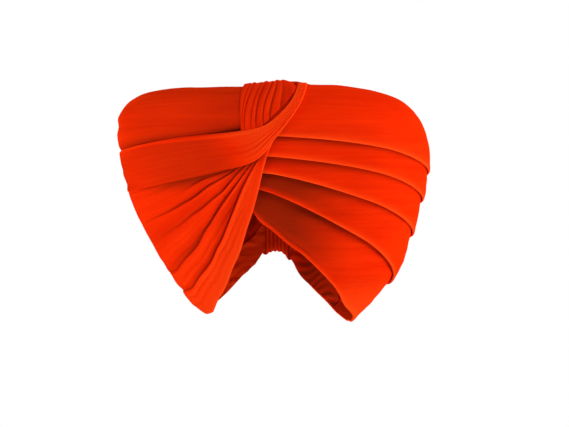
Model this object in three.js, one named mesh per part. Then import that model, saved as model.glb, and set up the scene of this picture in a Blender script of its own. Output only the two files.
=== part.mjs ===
import * as THREE from 'three';

// Turban cloth, wound for wearing and kept in its worn form. Millimetres, +Z up, the front faces -Y
// and +X is the wearer's left, which is the right-hand side of a front view. The origin is the
// inner apex of the hollow, where the crown of the head meets it.

// Overall sizes of the wound form, over the layers of cloth
const WIDTH = 300;
const DEPTH = 276;
const HEIGHT = 234;

// The near side of the crown lies higher than its middle by this tilt, and the far side lower
const CROWN_TILT = 8;

// Shallow trough that the bundle presses into the crown from front to back: its depth, the place of
// its middle across the crown, to the left, and its half width
const TROUGH_DEPTH = 3.4;
const TROUGH_PLACE = 30;
const TROUGH_WIDTH = 45;

// The head that goes in, at its widest
const HEAD_WIDTH = 156;
const HEAD_DEPTH = 180;

// One fold of cloth, the gap left between neighbouring folds and what their facets need besides
const WALL = 2.4;
const GAP = 0.9;
const FACET = 0.3;
const LAYER = WALL + GAP + FACET;

// How far a lower wrap runs on beneath the one above it, as a share of the form's height, and how
// much deeper its upper edge then lies
const TUCK = 0.022;
const TUCK_SLOPE = 1.4;

// Wound core: the room above its face, its least wall at the sides and over the head, and how far
// its rim stays above the hem
const CORE_ROOM = 1.1;
const CORE_DEPTH = 2 * LAYER + TUCK_SLOPE + CORE_ROOM;
const CORE_WALL = 2.6;
const CROWN_WALL = 5;
const CORE_RIM = 0.028;

// Crossing cloths: height of the fan over the wraps beneath it, roundness and thin lower edge of
// the band, depth of the fan's folds, and the roll along its front edge
const CROSS_LIFT = LAYER + FACET;
const BAND_ROLL = 1.2;
const THIN_EDGE = 0.8;
const FOLD_DEPTH = 4.4;
const HEM_ROLL = 2.0;

// Crown cloth: depth of its pleats, how far the front bundle bulges, and its thinner wall
const CROWN_CLOTH_WALL = 1.7;
const PLEAT_DEPTH = 1.2;
const BUNDLE_BULGE = 1.5;
const CROWN_PLEATS = 6;

// Band turned up inside the nape, and the gathered end folded round the hem at its middle
const NAPE_BAND_HEIGHT = 27;
const NAPE_BAND_RISE = 7;
const NAPE_BAND_SIDES = 14;
const GATHER_HALF = 8;
const GATHER_HEIGHT = 31;
const GATHER_PLEATS = 5;
const GATHER_PLEAT = 1.0;
const GATHER_CLEAR = 1.7;

// Azimuth runs from 0 at the front to +90 at the right and 180 at the back; the joints between the
// wraps of both sides lie under the crown cloth.
const BACK_JOINT = 179.4;
const FRONT_JOINT = -9;
const CROWN_HOLE = 0.95;

// Squareness of every horizontal section, 2 being an ellipse
const SECTION_POWER = 2.25;

// Outer form from the tips to the crown: height as a share of HEIGHT, and the reach to the right
// and left as shares of half the WIDTH, to the front and back as shares of half the DEPTH.
const OUTER_ROWS = [
  { height: 0.000, right: 0.48, left: 0.39, front: 0.45, back: 0.47 },
  { height: 0.090, right: 0.63, left: 0.56, front: 0.57, back: 0.61 },
  { height: 0.200, right: 0.78, left: 0.69, front: 0.67, back: 0.70 },
  { height: 0.330, right: 0.865, left: 0.81, front: 0.72, back: 0.77 },
  { height: 0.470, right: 0.93, left: 0.92, front: 0.77, back: 0.87 },
  { height: 0.600, right: 0.98, left: 0.985, front: 0.87, back: 0.95 },
  { height: 0.720, right: 0.98, left: 1.02, front: 0.97, back: 0.99 },
  { height: 0.830, right: 0.92, left: 1.02, front: 1.00, back: 0.97 },
  { height: 0.905, right: 0.79, left: 0.94, front: 0.94, back: 0.85 },
  { height: 0.936, right: 0.57, left: 0.75, front: 0.77, back: 0.66 },
  { height: 0.937, right: 0.29, left: 0.40, front: 0.41, back: 0.34 },
  { height: 0.930, right: 0.00, left: 0.00, front: 0.00, back: 0.00 },
];

// Height of the hollow's apex, close under the crown's middle
const SEAT_HEIGHT = OUTER_ROWS[OUTER_ROWS.length - 1].height * HEIGHT - CORE_DEPTH - CROWN_WALL;

// Rows of the outer form below its highest place
const RISING_ROWS = OUTER_ROWS.filter((row, i) => i === 0 || row.height > OUTER_ROWS[i - 1].height);

// Hollow for the head and the knot of hair above it: height as a share of SEAT_HEIGHT, and the
// reach to the side, front and back as shares of half the head
const HOLLOW_ROWS = [
  { height: 0.000, side: 0.85, front: 0.72, back: 0.76 },
  { height: 0.110, side: 0.98, front: 0.82, back: 0.86 },
  { height: 0.230, side: 1.00, front: 0.89, back: 0.94 },
  { height: 0.380, side: 1.00, front: 0.95, back: 1.01 },
  { height: 0.540, side: 0.98, front: 0.97, back: 1.03 },
  { height: 0.690, side: 0.92, front: 0.88, back: 0.94 },
  { height: 0.830, side: 0.79, front: 0.71, back: 0.74 },
  { height: 0.930, side: 0.60, front: 0.52, back: 0.54 },
  { height: 0.985, side: 0.35, front: 0.29, back: 0.29 },
  { height: 1.000, side: 0.00, front: 0.00, back: 0.00 },
];

// Hem of the whole turban, from the back over the left tip, the front opening and the right tip
const HEM = [
  { azimuth: -180, level: 0.258 },
  { azimuth: -172, level: 0.236 },
  { azimuth: -164, level: 0.180 },
  { azimuth: -144, level: 0.100 },
  { azimuth: -120, level: 0.052 },
  { azimuth: -95, level: 0.040 },
  { azimuth: -55, level: 0.050 },
  { azimuth: -39, level: 0.106 },
  { azimuth: -27, level: 0.180 },
  { azimuth: -14, level: 0.330 },
  { azimuth: -9, level: 0.345 },
  { azimuth: 6, level: 0.280 },
  { azimuth: 15, level: 0.240 },
  { azimuth: 34, level: 0.150 },
  { azimuth: 50, level: 0.072 },
  { azimuth: 84, level: 0.006 },
  { azimuth: 107, level: 0.000 },
  { azimuth: 130, level: 0.028 },
  { azimuth: 147, level: 0.082 },
  { azimuth: 162, level: 0.150 },
  { azimuth: 172, level: 0.224 },
  { azimuth: 180, level: 0.258 },
];

// Lower edges of the wraps round the right side, from the top one down: the level of each edge
// under the twist, in front, at the front quarter, beside the ear, behind it and at the back.
const WRAP_STATIONS = { twist: -20, front: 0, quarter: 43, ear: 90, behind: 140, back: 180 };
const RIGHT_WRAPS = [
  { start: -7, twist: 0.556, front: 0.552, quarter: 0.523, ear: 0.452, behind: 0.452, back: 0.490 },
  { start: -7, twist: 0.500, front: 0.498, quarter: 0.452, ear: 0.372, behind: 0.378, back: 0.430 },
  { start: -13, twist: 0.456, front: 0.451, quarter: 0.372, ear: 0.280, behind: 0.300, back: 0.378 },
  { start: -15, twist: 0.430, front: 0.396, quarter: 0.278, ear: 0.150, behind: 0.200, back: 0.322 },
];
const HEM_WRAP = { start: -18, edge: 0.352 };

// Front edge of the left fan, the line that closes over the right wraps
const FRONT_EDGE = [
  { level: 0.060, azimuth: -55 },
  { level: 0.112, azimuth: -39 },
  { level: 0.180, azimuth: -27 },
  { level: 0.265, azimuth: -19 },
  { level: 0.338, azimuth: -13.5 },
  { level: 0.422, azimuth: -8 },
  { level: 0.500, azimuth: -4.5 },
  { level: 0.552, azimuth: -1 },
  { level: 0.600, azimuth: 4 },
  { level: 0.700, azimuth: 10 },
];

// Sections of the crossing band, from the crown down over the bundle and round the left side: its
// upper and lower edge, and how far its underside stands off the form there, in layers of cloth.
const BAND_SECTIONS = [
  { upAz: 9.6, up: 0.800, lowAz: 13.8, low: 0.800, upLift: 0.30, lowLift: 0.30 },
  { upAz: 8.9, up: 0.735, lowAz: 12.2, low: 0.735, upLift: 0.60, lowLift: 0.30 },
  { upAz: 5.5, up: 0.660, lowAz: 9.0, low: 0.655, upLift: 1.40, lowLift: 0.30 },
  { upAz: 0.0, up: 0.610, lowAz: 4.5, low: 0.598, upLift: 1.60, lowLift: 0.50 },
  { upAz: -6.0, up: 0.583, lowAz: -1.0, low: 0.552, upLift: 1.60, lowLift: 1.60 },
  { upAz: -14.0, up: 0.568, lowAz: -9.0, low: 0.503, upLift: 1.65, lowLift: 2.75 },
  { upAz: -30.0, up: 0.552, lowAz: -24.0, low: 0.473, upLift: -0.05, lowLift: 1.95 },
  { upAz: -50.0, up: 0.540, lowAz: -47.0, low: 0.435, upLift: -0.67, lowLift: -0.15 },
  { upAz: -72.0, up: 0.528, lowAz: -70.0, low: 0.415, upLift: -0.67, lowLift: -0.45 },
  { upAz: -105, up: 0.520, lowAz: -105, low: 0.415, upLift: -0.67, lowLift: -0.45 },
  { upAz: -140, up: 0.530, lowAz: -140, low: 0.440, upLift: -0.67, lowLift: -0.45 },
  { upAz: -BACK_JOINT, up: 0.560, lowAz: -BACK_JOINT, low: 0.490, upLift: -0.67, lowLift: -0.45 },
];

// Sections of the left fan, from the twist out over the side to the back: its hidden upper edge,
// its front edge or hem, and its folds and hem roll as shares of FOLD_DEPTH and HEM_ROLL.
const FAN_SECTIONS = [
  { upAz: -10, up: 0.530, lowAz: -0.3, low: 0.560, fold: 0.05, roll: 0.0 },
  { upAz: -14, up: 0.520, lowAz: -4.0, low: 0.508, fold: 0.05, roll: 0.1 },
  { upAz: -24, up: 0.500, lowAz: -9.0, low: 0.407, fold: 1.00, roll: 1.0 },
  { upAz: -38, up: 0.480, lowAz: -14.8, low: 0.320, fold: 1.00, roll: 1.0 },
  { upAz: -56, up: 0.452, lowAz: -24.0, low: 0.208, fold: 0.72, roll: 1.0 },
  { upAz: -78, up: 0.440, lowAz: -43.0, low: 0.088, fold: 0.36, roll: 0.75 },
  { upAz: -105, up: 0.443, lowAz: -80.0, low: 0.038, fold: 0.18, roll: 0.4 },
  { upAz: -132, up: 0.458, lowAz: -118, low: 0.050, fold: 0.14, roll: 0.2 },
  { upAz: -157, up: 0.488, lowAz: -152, low: 0.130, fold: 0.12, roll: 0.1 },
  { upAz: -BACK_JOINT, up: 0.518, lowAz: -BACK_JOINT, low: 0.258, fold: 0.11, roll: 0.0 },
];

// Valleys between the fan's folds, as shares of the way from its upper edge to its hem
const FAN_VALLEYS = [
  { name: 'hidden edge', twist: 0.00, side: 0.00 },
  { name: 'under the band', twist: 0.32, side: 0.12 },
  { name: 'first valley', twist: 0.42, side: 0.31 },
  { name: 'second valley', twist: 0.52, side: 0.45 },
  { name: 'third valley', twist: 0.61, side: 0.60 },
  { name: 'fourth valley', twist: 0.70, side: 0.77 },
  { name: 'hem roll', twist: 0.83, side: 0.90 },
  { name: 'front edge', twist: 1.00, side: 1.00 },
];

// Crown cloth, from the pleats at the front over the crown and down the back. The rows are places
// on the flat map of the form, whose radius is 1 - level: y runs from front to back. Its pleats
// are shares of PLEAT_DEPTH, and its underside stands off the form by a lift in layers of cloth.
const CROWN_ROWS = [
  { y: -0.44, left: -0.104, right: 0.070, pleat: 0.90, lift: 0.36 },
  { y: -0.30, left: -0.072, right: 0.044, pleat: 1.00, lift: 0.40 },
  { y: -0.20, left: -0.052, right: 0.028, pleat: 1.00, lift: 0.36 },
  { y: -0.12, left: -0.052, right: 0.050, pleat: 0.75, lift: 0.36 },
  { y: -0.02, left: -0.120, right: 0.120, pleat: 0.55, lift: 0.36 },
  { y: 0.10, left: -0.150, right: 0.150, pleat: 0.55, lift: 0.36 },
  { y: 0.24, left: -0.100, right: 0.100, pleat: 0.75, lift: 0.36 },
  { y: 0.36, left: -0.070, right: 0.070, pleat: 0.90, lift: 0.36 },
  { y: 0.55, left: -0.085, right: 0.085, pleat: 0.75, lift: 0.40 },
  { y: 0.66, left: -0.098, right: 0.098, pleat: 0.60, lift: 1.65 },
  { y: 0.69, left: -0.100, right: 0.100, pleat: 0.50, lift: 1.70 },
];
const CROWN_FRONT_LEFT = -0.433;
const CROWN_FRONT_RIGHT = -0.270;
const CROWN_BACK_END = 0.69;

// Steps of the facets
const CORE_SIDES = 48;
const WRAP_STEPS = 27;
const UPPER_STEPS = 24;
const BAND_STEPS = 34;
const FAN_STEPS = 33;
const CROWN_STEPS = 26;

const CLOTH_COLOUR = 0xe63200;

function clamp(x, low, high) {
  return Math.min(Math.max(x, low), high);
}

function mix(a, b, t) {
  return a + (b - a) * t;
}

function ease(x, from, to) {
  const t = clamp((x - from) / (to - from), 0, 1);
  return t * t * (3 - 2 * t);
}

// Smooth curve through evenly spaced rows, for one named column
function alongRows(rows, column, share) {
  const last = rows.length - 1;
  const x = clamp(share, 0, 1) * last;
  const i = Math.min(Math.floor(x), last - 1);
  const f = x - i;
  const b = rows[i][column];
  const c = rows[i + 1][column];
  const a = i > 0 ? rows[i - 1][column] : 2 * b - c;
  const d = i + 2 <= last ? rows[i + 2][column] : 2 * c - b;
  const bend = (2 * a - 5 * b + 4 * c - d) * f * f + (-a + 3 * b - 3 * c + d) * f * f * f;
  return 0.5 * (2 * b + (c - a) * f + bend);
}

// Smooth curve through unevenly spaced rows, as one column against another
function across(rows, key, column, x) {
  const last = rows.length - 1;
  const at = clamp(x, rows[0][key], rows[last][key]);
  let i = 0;
  while (i < last - 1 && rows[i + 1][key] < at) i += 1;
  const slope = (j) => {
    const a = Math.max(j - 1, 0);
    const b = Math.min(j + 1, last);
    return (rows[b][column] - rows[a][column]) / (rows[b][key] - rows[a][key]);
  };
  const step = rows[i + 1][key] - rows[i][key];
  const t = (at - rows[i][key]) / step;
  const h = t * t * (3 - 2 * t);
  const rise = (t * (1 - t) * (1 - t)) * slope(i) - (t * t * (1 - t)) * slope(i + 1);
  return mix(rows[i][column], rows[i + 1][column], h) + rise * step;
}

// Radius of a horizontal section at an azimuth, from its reach to the side and to the fore or aft
function sectionRadius(azimuth, side, fore) {
  const a = THREE.MathUtils.degToRad(azimuth);
  const x = Math.abs(Math.sin(a)) / Math.max(side, 1e-3);
  const y = Math.abs(Math.cos(a)) / Math.max(fore, 1e-3);
  return (x ** SECTION_POWER + y ** SECTION_POWER) ** (-1 / SECTION_POWER);
}

function outerRadius(azimuth, level) {
  const side = Math.sin(THREE.MathUtils.degToRad(azimuth)) >= 0 ? 'right' : 'left';
  const fore = Math.cos(THREE.MathUtils.degToRad(azimuth)) >= 0 ? 'front' : 'back';
  const reach = alongRows(OUTER_ROWS, side, level) * WIDTH / 2;
  return sectionRadius(azimuth, reach, alongRows(OUTER_ROWS, fore, level) * DEPTH / 2);
}

function headRadius(azimuth, share) {
  const fore = Math.cos(THREE.MathUtils.degToRad(azimuth)) >= 0 ? 'front' : 'back';
  const reach = alongRows(HOLLOW_ROWS, 'side', share) * HEAD_WIDTH / 2;
  return sectionRadius(azimuth, reach, alongRows(HOLLOW_ROWS, fore, share) * HEAD_DEPTH / 2);
}

// Point at an azimuth, radius and height, tilted down toward the back more and more with height,
// and pressed down along the trough
function standing(azimuth, radius, height) {
  const a = THREE.MathUtils.degToRad(azimuth);
  const x = radius * Math.sin(a);
  const y = -radius * Math.cos(a);
  const tilt = CROWN_TILT * ease(height / HEIGHT, 0.45, 0.95) * y / (DEPTH / 2);
  const aside = (x + TROUGH_PLACE) / TROUGH_WIDTH;
  const trough = TROUGH_DEPTH * ease(height / HEIGHT, 0.62, 0.92) * Math.exp(-aside * aside);
  return new THREE.Vector3(x, y, height - tilt - trough);
}

// Outer form: level 0 is the tips' height and level 1 the middle of the crown
function form(azimuth, level) {
  const height = alongRows(OUTER_ROWS, 'height', level) * HEIGHT;
  return standing(azimuth, outerRadius(azimuth, level), height);
}

// The same point on the flat map, where the crown's middle is the origin
function formAt(x, y) {
  const azimuth = THREE.MathUtils.radToDeg(Math.atan2(x, -y));
  return form(azimuth, 1 - Math.hypot(x, y));
}

// Point that stands off the form by a height along its normal
function raised(x, y, height) {
  const step = 0.004;
  const alongX = formAt(x + step, y).sub(formAt(x - step, y));
  const alongY = formAt(x, y + step).sub(formAt(x, y - step));
  const normal = alongX.cross(alongY).normalize();
  return formAt(x, y).addScaledVector(normal, height);
}

function standOff(azimuth, level, height) {
  const a = THREE.MathUtils.degToRad(azimuth);
  const far = 1 - level;
  return raised(far * Math.sin(a), -far * Math.cos(a), height);
}

// Share of the way up a table's rows where its height column reaches a share of the height
function shareAt(rows, height) {
  let low = 0;
  let high = 1;
  for (let i = 0; i < 30; i += 1) {
    const middle = (low + high) / 2;
    if (alongRows(rows, 'height', middle) < height) low = middle;
    else high = middle;
  }
  return low;
}

// Point of the hollow's face at a height, moved inward by a depth. The head's form gives way where
// the wraps press closer.
function hollow(azimuth, height, depth = 0) {
  const head = headRadius(azimuth, shareAt(HOLLOW_ROWS, height / SEAT_HEIGHT));
  const rising = shareAt(RISING_ROWS, height / HEIGHT);
  const level = rising * (RISING_ROWS.length - 1) / (OUTER_ROWS.length - 1);
  const room = outerRadius(azimuth, level) - CORE_DEPTH - CORE_WALL;
  return standing(azimuth, Math.max(Math.min(head, room) - depth, 0), height);
}

function hemLevel(azimuth) {
  return across(HEM, 'azimuth', 'level', azimuth);
}

function frontEdge(level) {
  return across(FRONT_EDGE, 'level', 'azimuth', level);
}

// Closed body from a face grid and a back grid of the same size
function slab(columns, rows, face, back) {
  const points = [];
  const index = (side, i, j) => (side * (columns + 1) + i) * (rows + 1) + j;
  for (const side of [face, back]) {
    for (let i = 0; i <= columns; i += 1) {
      for (let j = 0; j <= rows; j += 1) points.push(side(i, j));
    }
  }
  const faces = [];
  const quad = (a, b, c, d) => faces.push([a, b, c], [a, c, d]);
  for (let i = 0; i < columns; i += 1) {
    for (let j = 0; j < rows; j += 1) {
      quad(index(0, i, j), index(0, i + 1, j), index(0, i + 1, j + 1), index(0, i, j + 1));
      quad(index(1, i, j), index(1, i, j + 1), index(1, i + 1, j + 1), index(1, i + 1, j));
    }
  }
  for (let i = 0; i < columns; i += 1) {
    quad(index(0, i + 1, 0), index(0, i, 0), index(1, i, 0), index(1, i + 1, 0));
    quad(index(0, i, rows), index(0, i + 1, rows), index(1, i + 1, rows), index(1, i, rows));
  }
  for (let j = 0; j < rows; j += 1) {
    quad(index(0, 0, j), index(0, 0, j + 1), index(1, 0, j + 1), index(1, 0, j));
    quad(index(0, columns, j + 1), index(0, columns, j), index(1, columns, j), index(1, columns, j + 1));
  }
  return { points, faces };
}

function volume({ points, faces }) {
  let sum = 0;
  for (const [a, b, c] of faces) {
    sum += points[a].dot(points[b].clone().cross(points[c])) / 6;
  }
  return sum;
}

function body(name, solid) {
  const outward = volume(solid) > 0;
  const geometry = new THREE.BufferGeometry();
  geometry.setAttribute('position', new THREE.Float32BufferAttribute(
    solid.points.flatMap((p) => [p.x, p.y, p.z]), 3));
  geometry.setIndex(solid.faces.flatMap(([a, b, c]) => (outward ? [a, b, c] : [a, c, b])));
  geometry.computeVertexNormals();
  const material = new THREE.MeshStandardMaterial({
    color: CLOTH_COLOUR, roughness: 0.7, metalness: 0,
  });
  const mesh = new THREE.Mesh(geometry, material);
  mesh.name = name;
  return mesh;
}

// Wound core round the hollow: its rim stays inside the hem, and its face lies under all the wraps
function underWraps() {
  const outerShares = [0, 0.1, 0.22, 0.36, 0.5, 0.6, 0.69, 0.77, 0.85, 0.93];
  const innerShares = [0, 0.07, 0.15, 0.3, 0.46, 0.62, 0.77, 0.89, 0.965];
  const points = [];
  const rings = [];
  const ring = (at) => {
    rings.push(points.length);
    for (let i = 0; i < CORE_SIDES; i += 1) points.push(at(i * 360 / CORE_SIDES - 180));
  };
  const rim = (azimuth) => hemLevel(azimuth) + CORE_RIM;
  for (const share of outerShares) {
    ring((azimuth) => standOff(azimuth, mix(rim(azimuth), 1, share), -CORE_DEPTH));
  }
  const top = points.push(standOff(0, 1, -CORE_DEPTH)) - 1;
  const outerRings = rings.length;
  for (const share of innerShares) {
    ring((azimuth) => {
      const foot = standOff(azimuth, rim(azimuth), -CORE_DEPTH).z;
      return hollow(azimuth, mix(foot, SEAT_HEIGHT, share));
    });
  }
  const apex = points.push(hollow(0, SEAT_HEIGHT)) - 1;
  const faces = [];
  for (let i = 0; i < CORE_SIDES; i += 1) {
    const n = (i + 1) % CORE_SIDES;
    const quad = (a, b, c, d) => faces.push([a, b, c], [a, c, d]);
    for (let j = 0; j < rings.length - 1; j += 1) {
      if (j !== outerRings - 1) {
        const [a, b] = [rings[j], rings[j + 1]];
        if (j < outerRings) quad(a + i, a + n, b + n, b + i);
        else quad(a + n, a + i, b + i, b + n);
      }
    }
    const [rimOut, rimIn] = [rings[0], rings[outerRings]];
    quad(rimOut + n, rimOut + i, rimIn + i, rimIn + n);
    const lastOut = rings[outerRings - 1];
    const lastIn = rings[rings.length - 1];
    faces.push([lastOut + i, lastOut + n, top]);
    faces.push([lastIn + n, lastIn + i, apex]);
  }
  return body('under_wraps', { points, faces });
}

// Level of a right wrap's lower edge at an azimuth
function wrapEdge(wrap, azimuth) {
  if (wrap === HEM_WRAP) {
    return azimuth < 0 ? mix(hemLevel(azimuth), wrap.edge, ease(-azimuth, 3, 12)) : hemLevel(azimuth);
  }
  const rows = Object.entries(WRAP_STATIONS).map(([place, at]) => ({ at, level: wrap[place] }));
  return across(rows, 'at', 'level', azimuth);
}

// A wrap of the right side: its lower edge lies on the outer form, and its upper part slopes in
// beneath the wrap above it.
function rightWrap(name, wrap, above) {
  const rows = [
    { share: 0.00, tuck: 0, depth: 0.5 },
    { share: 0.10, tuck: 0, depth: 0.0 },
    { share: 0.55, tuck: 0, depth: 0.45 * LAYER },
    { share: 1.00, tuck: 0, depth: LAYER },
    { share: 1.00, tuck: 1, depth: LAYER + TUCK_SLOPE },
  ];
  const at = (i, j, inner) => {
    const azimuth = mix(wrap.start, BACK_JOINT, i / WRAP_STEPS);
    const low = wrapEdge(wrap, azimuth);
    const high = wrapEdge(above, azimuth);
    const row = rows[j];
    const level = mix(low, high, row.share) + row.tuck * TUCK;
    return standOff(azimuth, level, -row.depth - inner * WALL);
  };
  return body(name, slab(WRAP_STEPS, rows.length - 1, (i, j) => at(i, j, 0), (i, j) => at(i, j, 1)));
}

// The top wrap of the right side runs on over the shoulder of the crown
function topWrap(name, wrap) {
  const shares = [0, 0.05, 0.18, 0.32, 0.44, 0.55, 0.66, 0.78, 0.9, 1];
  const at = (i, j, inner) => {
    const azimuth = mix(wrap.start, BACK_JOINT, i / WRAP_STEPS);
    const level = mix(wrapEdge(wrap, azimuth), CROWN_HOLE, shares[j]);
    const edge = j === 0 ? 0.5 : 0;
    return standOff(azimuth, level, -edge - inner * WALL);
  };
  return body(name, slab(WRAP_STEPS, shares.length - 1, (i, j) => at(i, j, 0), (i, j) => at(i, j, 1)));
}

// Upper edge of the crossing band where it lies over the left side
function bandTop(azimuth) {
  const rows = BAND_SECTIONS.slice(3).reverse();
  return across(rows, 'upAz', 'up', azimuth);
}

// Smooth wrap of the upper left side, tucked under the crossing band
function leftUpperWrap() {
  const rows = [
    { share: 0, tuck: -1.50, depth: LAYER + 0.8 },
    { share: 0, tuck: 0.00, depth: LAYER + 0.3 },
    { share: 0, tuck: 1.10, depth: 0.4 },
    { share: 0.18, tuck: 0, depth: 0 },
    { share: 0.32, tuck: 0, depth: 0 },
    { share: 0.44, tuck: 0, depth: 0 },
    { share: 0.55, tuck: 0, depth: 0 },
    { share: 0.66, tuck: 0, depth: 0 },
    { share: 0.78, tuck: 0, depth: 0 },
    { share: 0.90, tuck: 0, depth: 0 },
    { share: 1.00, tuck: 0, depth: 0 },
  ];
  const at = (i, j, inner) => {
    const azimuth = mix(-BACK_JOINT, FRONT_JOINT, i / UPPER_STEPS);
    const row = rows[j];
    const level = mix(bandTop(azimuth), CROWN_HOLE, row.share) + row.tuck * TUCK;
    return standOff(azimuth, level, -row.depth - inner * WALL);
  };
  const last = rows.length - 1;
  return body('left_upper_wrap', slab(UPPER_STEPS, last, (i, j) => at(i, j, 0), (i, j) => at(i, j, 1)));
}

// Band that crosses the bundle and runs on round the left side
function crossingBand() {
  const shares = [0, 0.12, 0.35, 0.65, 0.88, 1];
  const at = (i, j, inner) => {
    const along = i / BAND_STEPS;
    const azimuth = mix(
      alongRows(BAND_SECTIONS, 'upAz', along), alongRows(BAND_SECTIONS, 'lowAz', along), shares[j]);
    const level = mix(
      alongRows(BAND_SECTIONS, 'up', along), alongRows(BAND_SECTIONS, 'low', along), shares[j]);
    const under = LAYER * mix(
      alongRows(BAND_SECTIONS, 'upLift', along), alongRows(BAND_SECTIONS, 'lowLift', along), shares[j]);
    const rolled = mix(0.3, 1, ease(along, 0, 0.15)) * (1 - ease(along, 0.4, 0.7));
    const roll = BAND_ROLL * Math.sin(Math.PI * shares[j]) * rolled;
    const thin = THIN_EDGE * shares[j] * ease(along, 0.5, 0.7);
    return standOff(azimuth, level, under + (1 - inner) * (WALL + roll - thin));
  };
  const last = shares.length - 1;
  return body('crossing_band', slab(BAND_STEPS, last, (i, j) => at(i, j, 0), (i, j) => at(i, j, 1)));
}

// How far the fan stands off to clear the ends of the right wraps beneath it, with its own wall
function crossLift(azimuth, level) {
  const inside = frontEdge(level) - azimuth;
  return CROSS_LIFT * (1 - ease(inside, 13, 25)) * ease(level, 0.2, 0.32);
}

// Fan of folds that spreads from the twist over the left side, ending in the rolled hem
function leftFanWrap() {
  const steps = [];
  for (let v = 0; v < FAN_VALLEYS.length - 1; v += 1) {
    const parts = v === 0 ? 1 : 3;
    for (let k = 0; k < parts; k += 1) steps.push({ v, k: k / parts });
  }
  steps.push({ v: FAN_VALLEYS.length - 2, k: 1 });
  const column = (name, along) => alongRows(FAN_SECTIONS, name, along);
  const at = (i, j, inner) => {
    const along = (i / FAN_STEPS) ** 1.08;
    const { v, k } = steps[j];
    const spread = ease(along, 0.045, 0.45);
    const edge = (n) => mix(FAN_VALLEYS[n].twist, FAN_VALLEYS[n].side, spread);
    const share = mix(edge(v), edge(v + 1), k);
    const lowAz = column('lowAz', along);
    const low = mix(column('low', along), hemLevel(lowAz), ease(-lowAz, 20, 30));
    const azimuth = mix(column('upAz', along), lowAz, share);
    const level = mix(column('up', along), low, share);
    const cross = crossLift(azimuth, level);
    const free = 1 - cross / CROSS_LIFT;
    const fold = FOLD_DEPTH * column('fold', along);
    const arch = v === 0 ? 0 : Math.sin(Math.PI * k) ** 0.8;
    const isHem = v === FAN_VALLEYS.length - 2;
    const rolled = HEM_ROLL * column('roll', along) * Math.sin(Math.PI * mix(0.15, 0.85, k));
    const tuck = Math.max(LAYER - THIN_EDGE - fold, 0) * (1 - ease(share, 0.10, 0.20)) * free;
    const last = isHem ? Math.max(arch, k) : arch;
    const height = cross + fold * (last - free) + (isHem ? rolled : 0) - tuck;
    return standOff(azimuth, level, height - inner * WALL);
  };
  const outer = (i, j) => at(i, j, 0);
  const inner = (i, j) => at(i, j, 1);
  return body('left_fan_wrap', slab(FAN_STEPS, steps.length - 1, outer, inner));
}

// Pleated cloth from under the crossing band, over the crown and down the back
function crownCloth() {
  const columns = CROWN_PLEATS * 2;
  const at = (i, j, inner) => {
    const share = j / columns;
    const start = mix(CROWN_FRONT_LEFT, CROWN_FRONT_RIGHT, share ** 2);
    const pressed = i === 0 ? 0.3 : 1;
    const y = mix(start, CROWN_BACK_END, i / CROWN_STEPS);
    const left = across(CROWN_ROWS, 'y', 'left', y);
    const right = across(CROWN_ROWS, 'y', 'right', y);
    const edge = ease(share, 0.7, 0.95);
    const pleat = PLEAT_DEPTH * across(CROWN_ROWS, 'y', 'pleat', y) * (j % 2);
    const under = LAYER * across(CROWN_ROWS, 'y', 'lift', y);
    const bulge = BUNDLE_BULGE * Math.sin(Math.PI * share) * ease(-y, 0.12, 0.22);
    const thick = CROWN_CLOTH_WALL + (pleat + bulge) * (1 - edge) * pressed;
    return raised(mix(left, right, share), y, under + (1 - inner) * thick);
  };
  return body('crown_cloth', slab(CROWN_STEPS, columns, (i, j) => at(i, j, 0), (i, j) => at(i, j, 1)));
}

// Band turned up inside the back hem
function napeBand() {
  const rows = 3;
  const half = NAPE_BAND_SIDES / 2 * 360 / CORE_SIDES;
  const at = (i, j, inner) => {
    const turn = mix(-half, half, i / NAPE_BAND_SIDES);
    const azimuth = turn > 0 ? turn - 180 : turn + 180;
    const foot = form(azimuth, hemLevel(azimuth)).z + 1 + NAPE_BAND_RISE * ease(Math.abs(turn), 6, 32);
    const tall = NAPE_BAND_HEIGHT * mix(1, 0.5, ease(Math.abs(turn), 20, half));
    return hollow(azimuth, foot + tall * j / rows, GAP + FACET + inner * WALL);
  };
  return body('nape_band', slab(NAPE_BAND_SIDES, rows, (i, j) => at(i, j, 0), (i, j) => at(i, j, 1)));
}

// Gathered end of the crown cloth, folded round the hem at the back and up inside
function napeGather() {
  const columns = GATHER_PLEATS * 2;
  const path = (azimuth) => {
    const hem = hemLevel(azimuth);
    const foot = form(azimuth, hem).z;
    const depth = GAP + FACET + WALL + GATHER_CLEAR + WALL / 2;
    const inside = (height) => hollow(azimuth, foot + height, depth);
    const rim = inside(1);
    const outside = (level) => standOff(azimuth, level, GATHER_CLEAR + WALL / 2);
    const out = outside(hem + 0.002);
    const below = (share) => {
      const p = out.clone().lerp(rim, share);
      p.z = foot - GATHER_CLEAR - WALL / 2;
      return p;
    };
    return [
      outside(hem + 0.075), outside(hem + 0.035), out, below(0.12), below(0.5), below(0.88),
      inside(1), inside(10), inside(20), inside(GATHER_HEIGHT),
    ];
  };
  const at = (i, j, inner) => {
    const turn = mix(-GATHER_HALF, GATHER_HALF, i / columns);
    const azimuth = turn > 0 ? turn - 180 : turn + 180;
    const points = path(azimuth);
    const a = points[Math.max(j - 1, 0)];
    const b = points[Math.min(j + 1, points.length - 1)];
    const tangent = b.clone().sub(a).normalize();
    const round = new THREE.Vector3(-points[j].y, points[j].x, 0).normalize();
    const away = tangent.clone().cross(round).normalize();
    const pleat = (1 - inner) * GATHER_PLEAT * (i % 2);
    return points[j].clone().addScaledVector(away, (inner ? -0.5 : 0.5) * WALL + pleat);
  };
  return body('nape_gather', slab(columns, 9, (i, j) => at(i, j, 0), (i, j) => at(i, j, 1)));
}

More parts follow.
